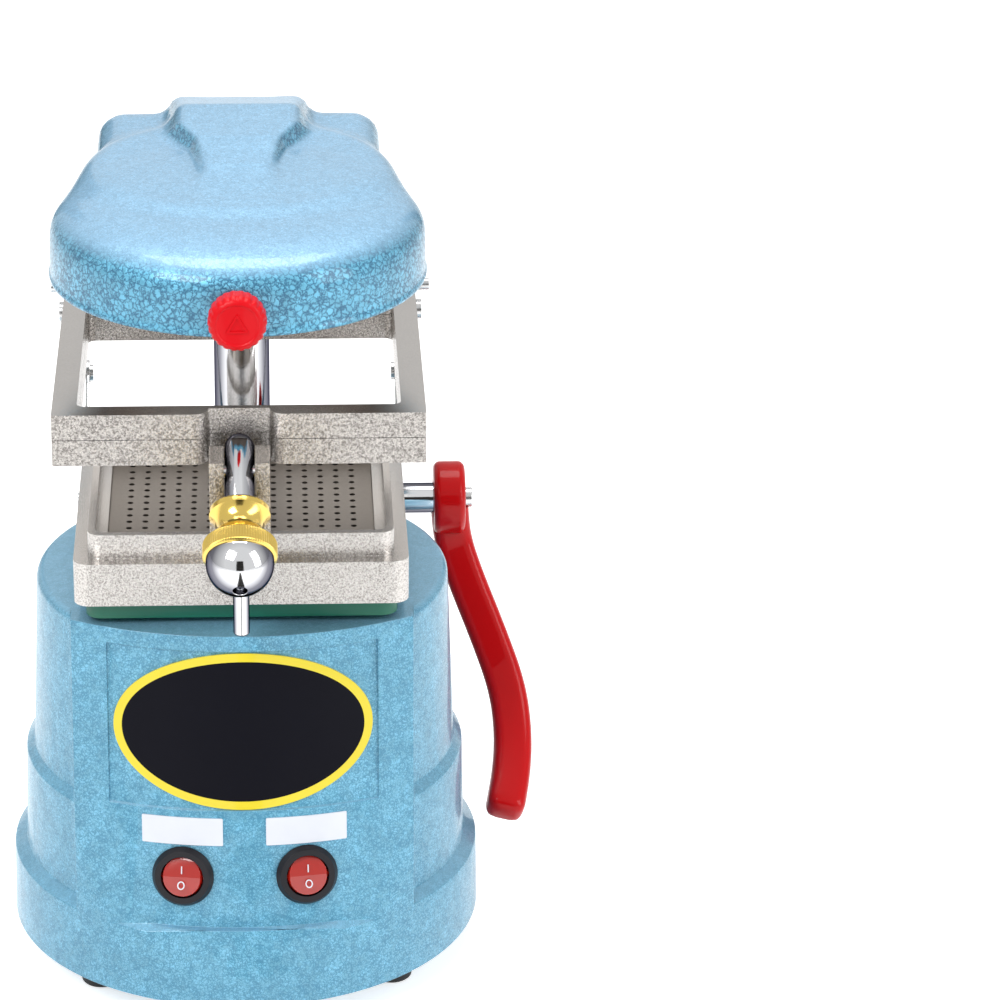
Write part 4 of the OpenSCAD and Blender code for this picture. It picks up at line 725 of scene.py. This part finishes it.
def add_rocker_marks():
    """A line and a ring printed on each rocker, one on each of its two flat halves."""
    t = np.linspace(0, TAU, 40, endpoint=False)
    circle = np.stack([np.cos(t), np.sin(t)], 1)
    bar = np.array([(-0.22, -1.5), (0.22, -1.5), (0.22, 1.5), (-0.22, 1.5)])
    ring = printed_band(circle * (0.95, 1.15) + (0, -3.7), circle * (1.4, 1.6) + (0, -3.7), -20)
    line = printed_band(bar * 0.02 + (0, 3.4), bar + (0, 3.4), 0)
    faces = np.concatenate([grid_faces(2, len(circle)), grid_faces(2, len(bar)) + len(ring)])
    r = FRONT_R + FRONT_GROWTH * (DECK_Z - SWITCH_Z)
    for name, side in (("vacuum", -1), ("heater", 1)):
        x = SWITCH_X * side
        turn = Matrix.Rotation(math.asin(x / r), 3, "Z") @ Matrix.Rotation(math.pi / 2 - LEAN, 3, "X")
        points = np.concatenate([ring, line]) @ np.array(turn).T + (x, FRONT_Y - math.sqrt(r ** 2 - x ** 2), SWITCH_Z)
        mark = piece(name + "_marks", at(points), faces, WHITE, name + "_switch", sharp=30)


add_rocker_marks()


# ---------------------------------------------------------------- badge and labels
def on_front(x, z, lift):
    """The point of the leaning front cone at x and height z, moved out by lift."""
    r = FRONT_R + FRONT_GROWTH * (DECK_Z - z) + lift
    return np.stack([x, FRONT_Y - np.sqrt(r ** 2 - x ** 2), z], -1)


def wrapped(name, outlines, base, lift, material, replaces):
    """A thin plate bent over the front cone. Each outline is the same count of (x, z) pairs; the plate spans from the
    first to the last, its top a little inside its edge, so that the edge is rounded."""
    first, last, part_way = outlines[0], outlines[-1], lift * 0.6 + base * 0.4
    rows = [on_front(*first.T, base), on_front(*first.T, part_way)] + [on_front(*line.T, lift) for line in outlines]
    rows += [on_front(*last.T, part_way), on_front(*last.T, base)]
    faces = grid_faces(len(rows), len(first))
    piece(name, at(np.concatenate(rows)), faces, material, "base", replaces, sharp=60)


def add_badge():
    """An ellipse of black enamel inside a yellow ring, both lying in the sunk field."""
    t = np.linspace(0, TAU, 160, endpoint=False)
    ring_w, middle = 3.1, np.array([0, BADGE_Z])

    def oval(inset):
        """The badge's outline, moved in: (half width cos t, half height sin t)."""
        return np.stack([(BADGE_HALF_W - inset) * np.cos(t), (BADGE_HALF_H - inset) * np.sin(t)], 1)

    border = [oval(inset) + middle for inset in (0.0, 0.35, 1.6, 2.8, ring_w)]
    enamel = [oval(ring_w) * share + middle for share in (1.0, 0.99, 0.95, 0.85, 0.7, 0.5, 0.3, 0.12, 0.0005)]
    wrapped("badge_ring", border, -0.9, -0.28, YELLOW, ("badge_border",))
    wrapped("badge_enamel", enamel, -0.9, -0.36, BLACK_PLATE, ("badge_plate",))


def add_labels():
    """Two plain white plates over the switches. Their long edges are cut into steps, so that they follow the front."""
    corners = np.array([(1, 1), (-1, 1), (-1, -1), (1, -1)]) * (LABEL_HALF_W, LABEL_HALF_H)
    edge = eased(corners, 0.5, 4, closed=True)
    outline = np.array([a * (1 - u) + b * u for a, b in zip(edge, np.roll(edge, -1, axis=0))
        for u in np.linspace(0, 1, 14 if np.linalg.norm(a - b) > 20 else 2)[:-1]])
    for name, side in (("label_left", -1), ("label_right", 1)):
        rows = [outline * share + (SWITCH_X * side, LABEL_Z) for share in (1.0, 0.985, 0.8, 0.5, 0.2, 0.001)]
        wrapped(name, rows, 0, 0.4, WHITE, ("switch_labels",))


add_badge()
add_labels()


# ---------------------------------------------------------------- floor, light and background
def add_floor():
    """A pale floor that keeps the shadow, brightened for the camera and for reflections."""
    half = 6.0
    mesh = bpy.data.meshes.new("floor")
    mesh.from_pydata([(-half, -half, 0), (half, -half, 0), (half, half, 0), (-half, half, 0)], [], [(0, 1, 2, 3)])
    floor = bpy.data.objects.new("floor", mesh)
    bpy.context.scene.collection.objects.link(floor)
    material, w, shader = new_material("floor paint", Base_Color=(0.86, 0.86, 0.86, 1), Roughness=0.9)
    path = w.node("ShaderNodeLightPath").outputs
    seen = w.math("MAXIMUM", path["Is Glossy Ray"], path["Is Transmission Ray"])
    seen = w.math("MAXIMUM", path["Is Camera Ray"], seen)
    glow = w.node("ShaderNodeEmission", {"Color": (1, 1, 1, 1), "Strength": w.math("MULTIPLY", seen, 0.66)})
    output = next(n for n in w.tree.nodes if n.type == "OUTPUT_MATERIAL")
    both = w.node("ShaderNodeAddShader", {0: shader.outputs[0], 1: glow.outputs[0]})
    w.tree.links.new(both.outputs[0], output.inputs["Surface"])
    mesh.materials.append(material)


def add_lamp(name, place, target, size, power):
    """A rectangular lamp in metres and watts, aimed at target."""
    data = bpy.data.lights.new(name, "AREA")
    data.shape = "RECTANGLE"
    data.size, data.size_y = size
    data.energy = power
    lamp = bpy.data.objects.new(name, data)
    bpy.context.scene.collection.objects.link(lamp)
    lamp.location = place
    lamp.rotation_euler = (Vector(target) - Vector(place)).to_track_quat("-Z", "Y").to_euler()


def add_world():
    """A white background for the camera; it lights the scene at 0.4 and polished metal at 0.75."""
    world = bpy.data.worlds.new("studio")
    world.use_nodes = True
    bpy.context.scene.world = world
    w = Web(world.node_tree)
    path = w.node("ShaderNodeLightPath").outputs
    seen = w.math("MAXIMUM", path["Is Camera Ray"], path["Is Transmission Ray"])
    back = next(n for n in world.node_tree.nodes if n.type == "BACKGROUND")
    back.inputs["Color"].default_value = (1, 1, 1, 1)
    mirrored = w.math("MULTIPLY", path["Is Glossy Ray"], 0.75)
    strength = w.math("MAXIMUM", w.math("MULTIPLY_ADD", seen, 0.6, 0.4), mirrored)
    w.tree.links.new(strength, back.inputs["Strength"])


def add_dark_card(name, corners):
    """A dark card that only mirror-like surfaces see, for the dark streaks in polished metal."""
    mesh = bpy.data.meshes.new(name)
    mesh.from_pydata(corners, [], [(0, 1, 2, 3)])
    card = bpy.data.objects.new(name, mesh)
    bpy.context.scene.collection.objects.link(card)
    material, w, shader = new_material(name, Base_Color=(0.02, 0.018, 0.016, 1), Roughness=0.9)
    mesh.materials.append(material)
    card.visible_camera = card.visible_diffuse = card.visible_shadow = card.visible_transmission = False


add_floor()
add_world()
add_dark_card("floor_card", [(-0.05, -1.3, 0.001), (0.06, -1.3, 0.001), (0.03, -0.2, 0.001), (-0.04, -0.2, 0.001)])
for name, x in (("rear_card_left", -0.62), ("rear_card_right", 0.62)):
    add_dark_card(name, [(x, 1.5, 0.0), (x + 0.2, 1.5, 0.0), (x + 0.2, 1.5, 1.0), (x, 1.5, 1.0)])
add_dark_card("camera_card", [(-0.5, -2.4, 0.05), (0.5, -2.4, 0.05), (0.5, -2.4, 1.5), (-0.5, -2.4, 1.5)])
add_lamp("key", (-0.9, -1.1, 1.5), (0, 0, 0.15), (0.9, 0.9), 22)
add_lamp("fill", (1.2, -0.7, 0.8), (0, 0, 0.15), (0.6, 1.2), 9)
add_lamp("top", (0.0, 0.4, 1.6), (0, 0, 0.2), (1.0, 0.7), 10)
bpy.context.scene.view_settings.view_transform = "Standard"
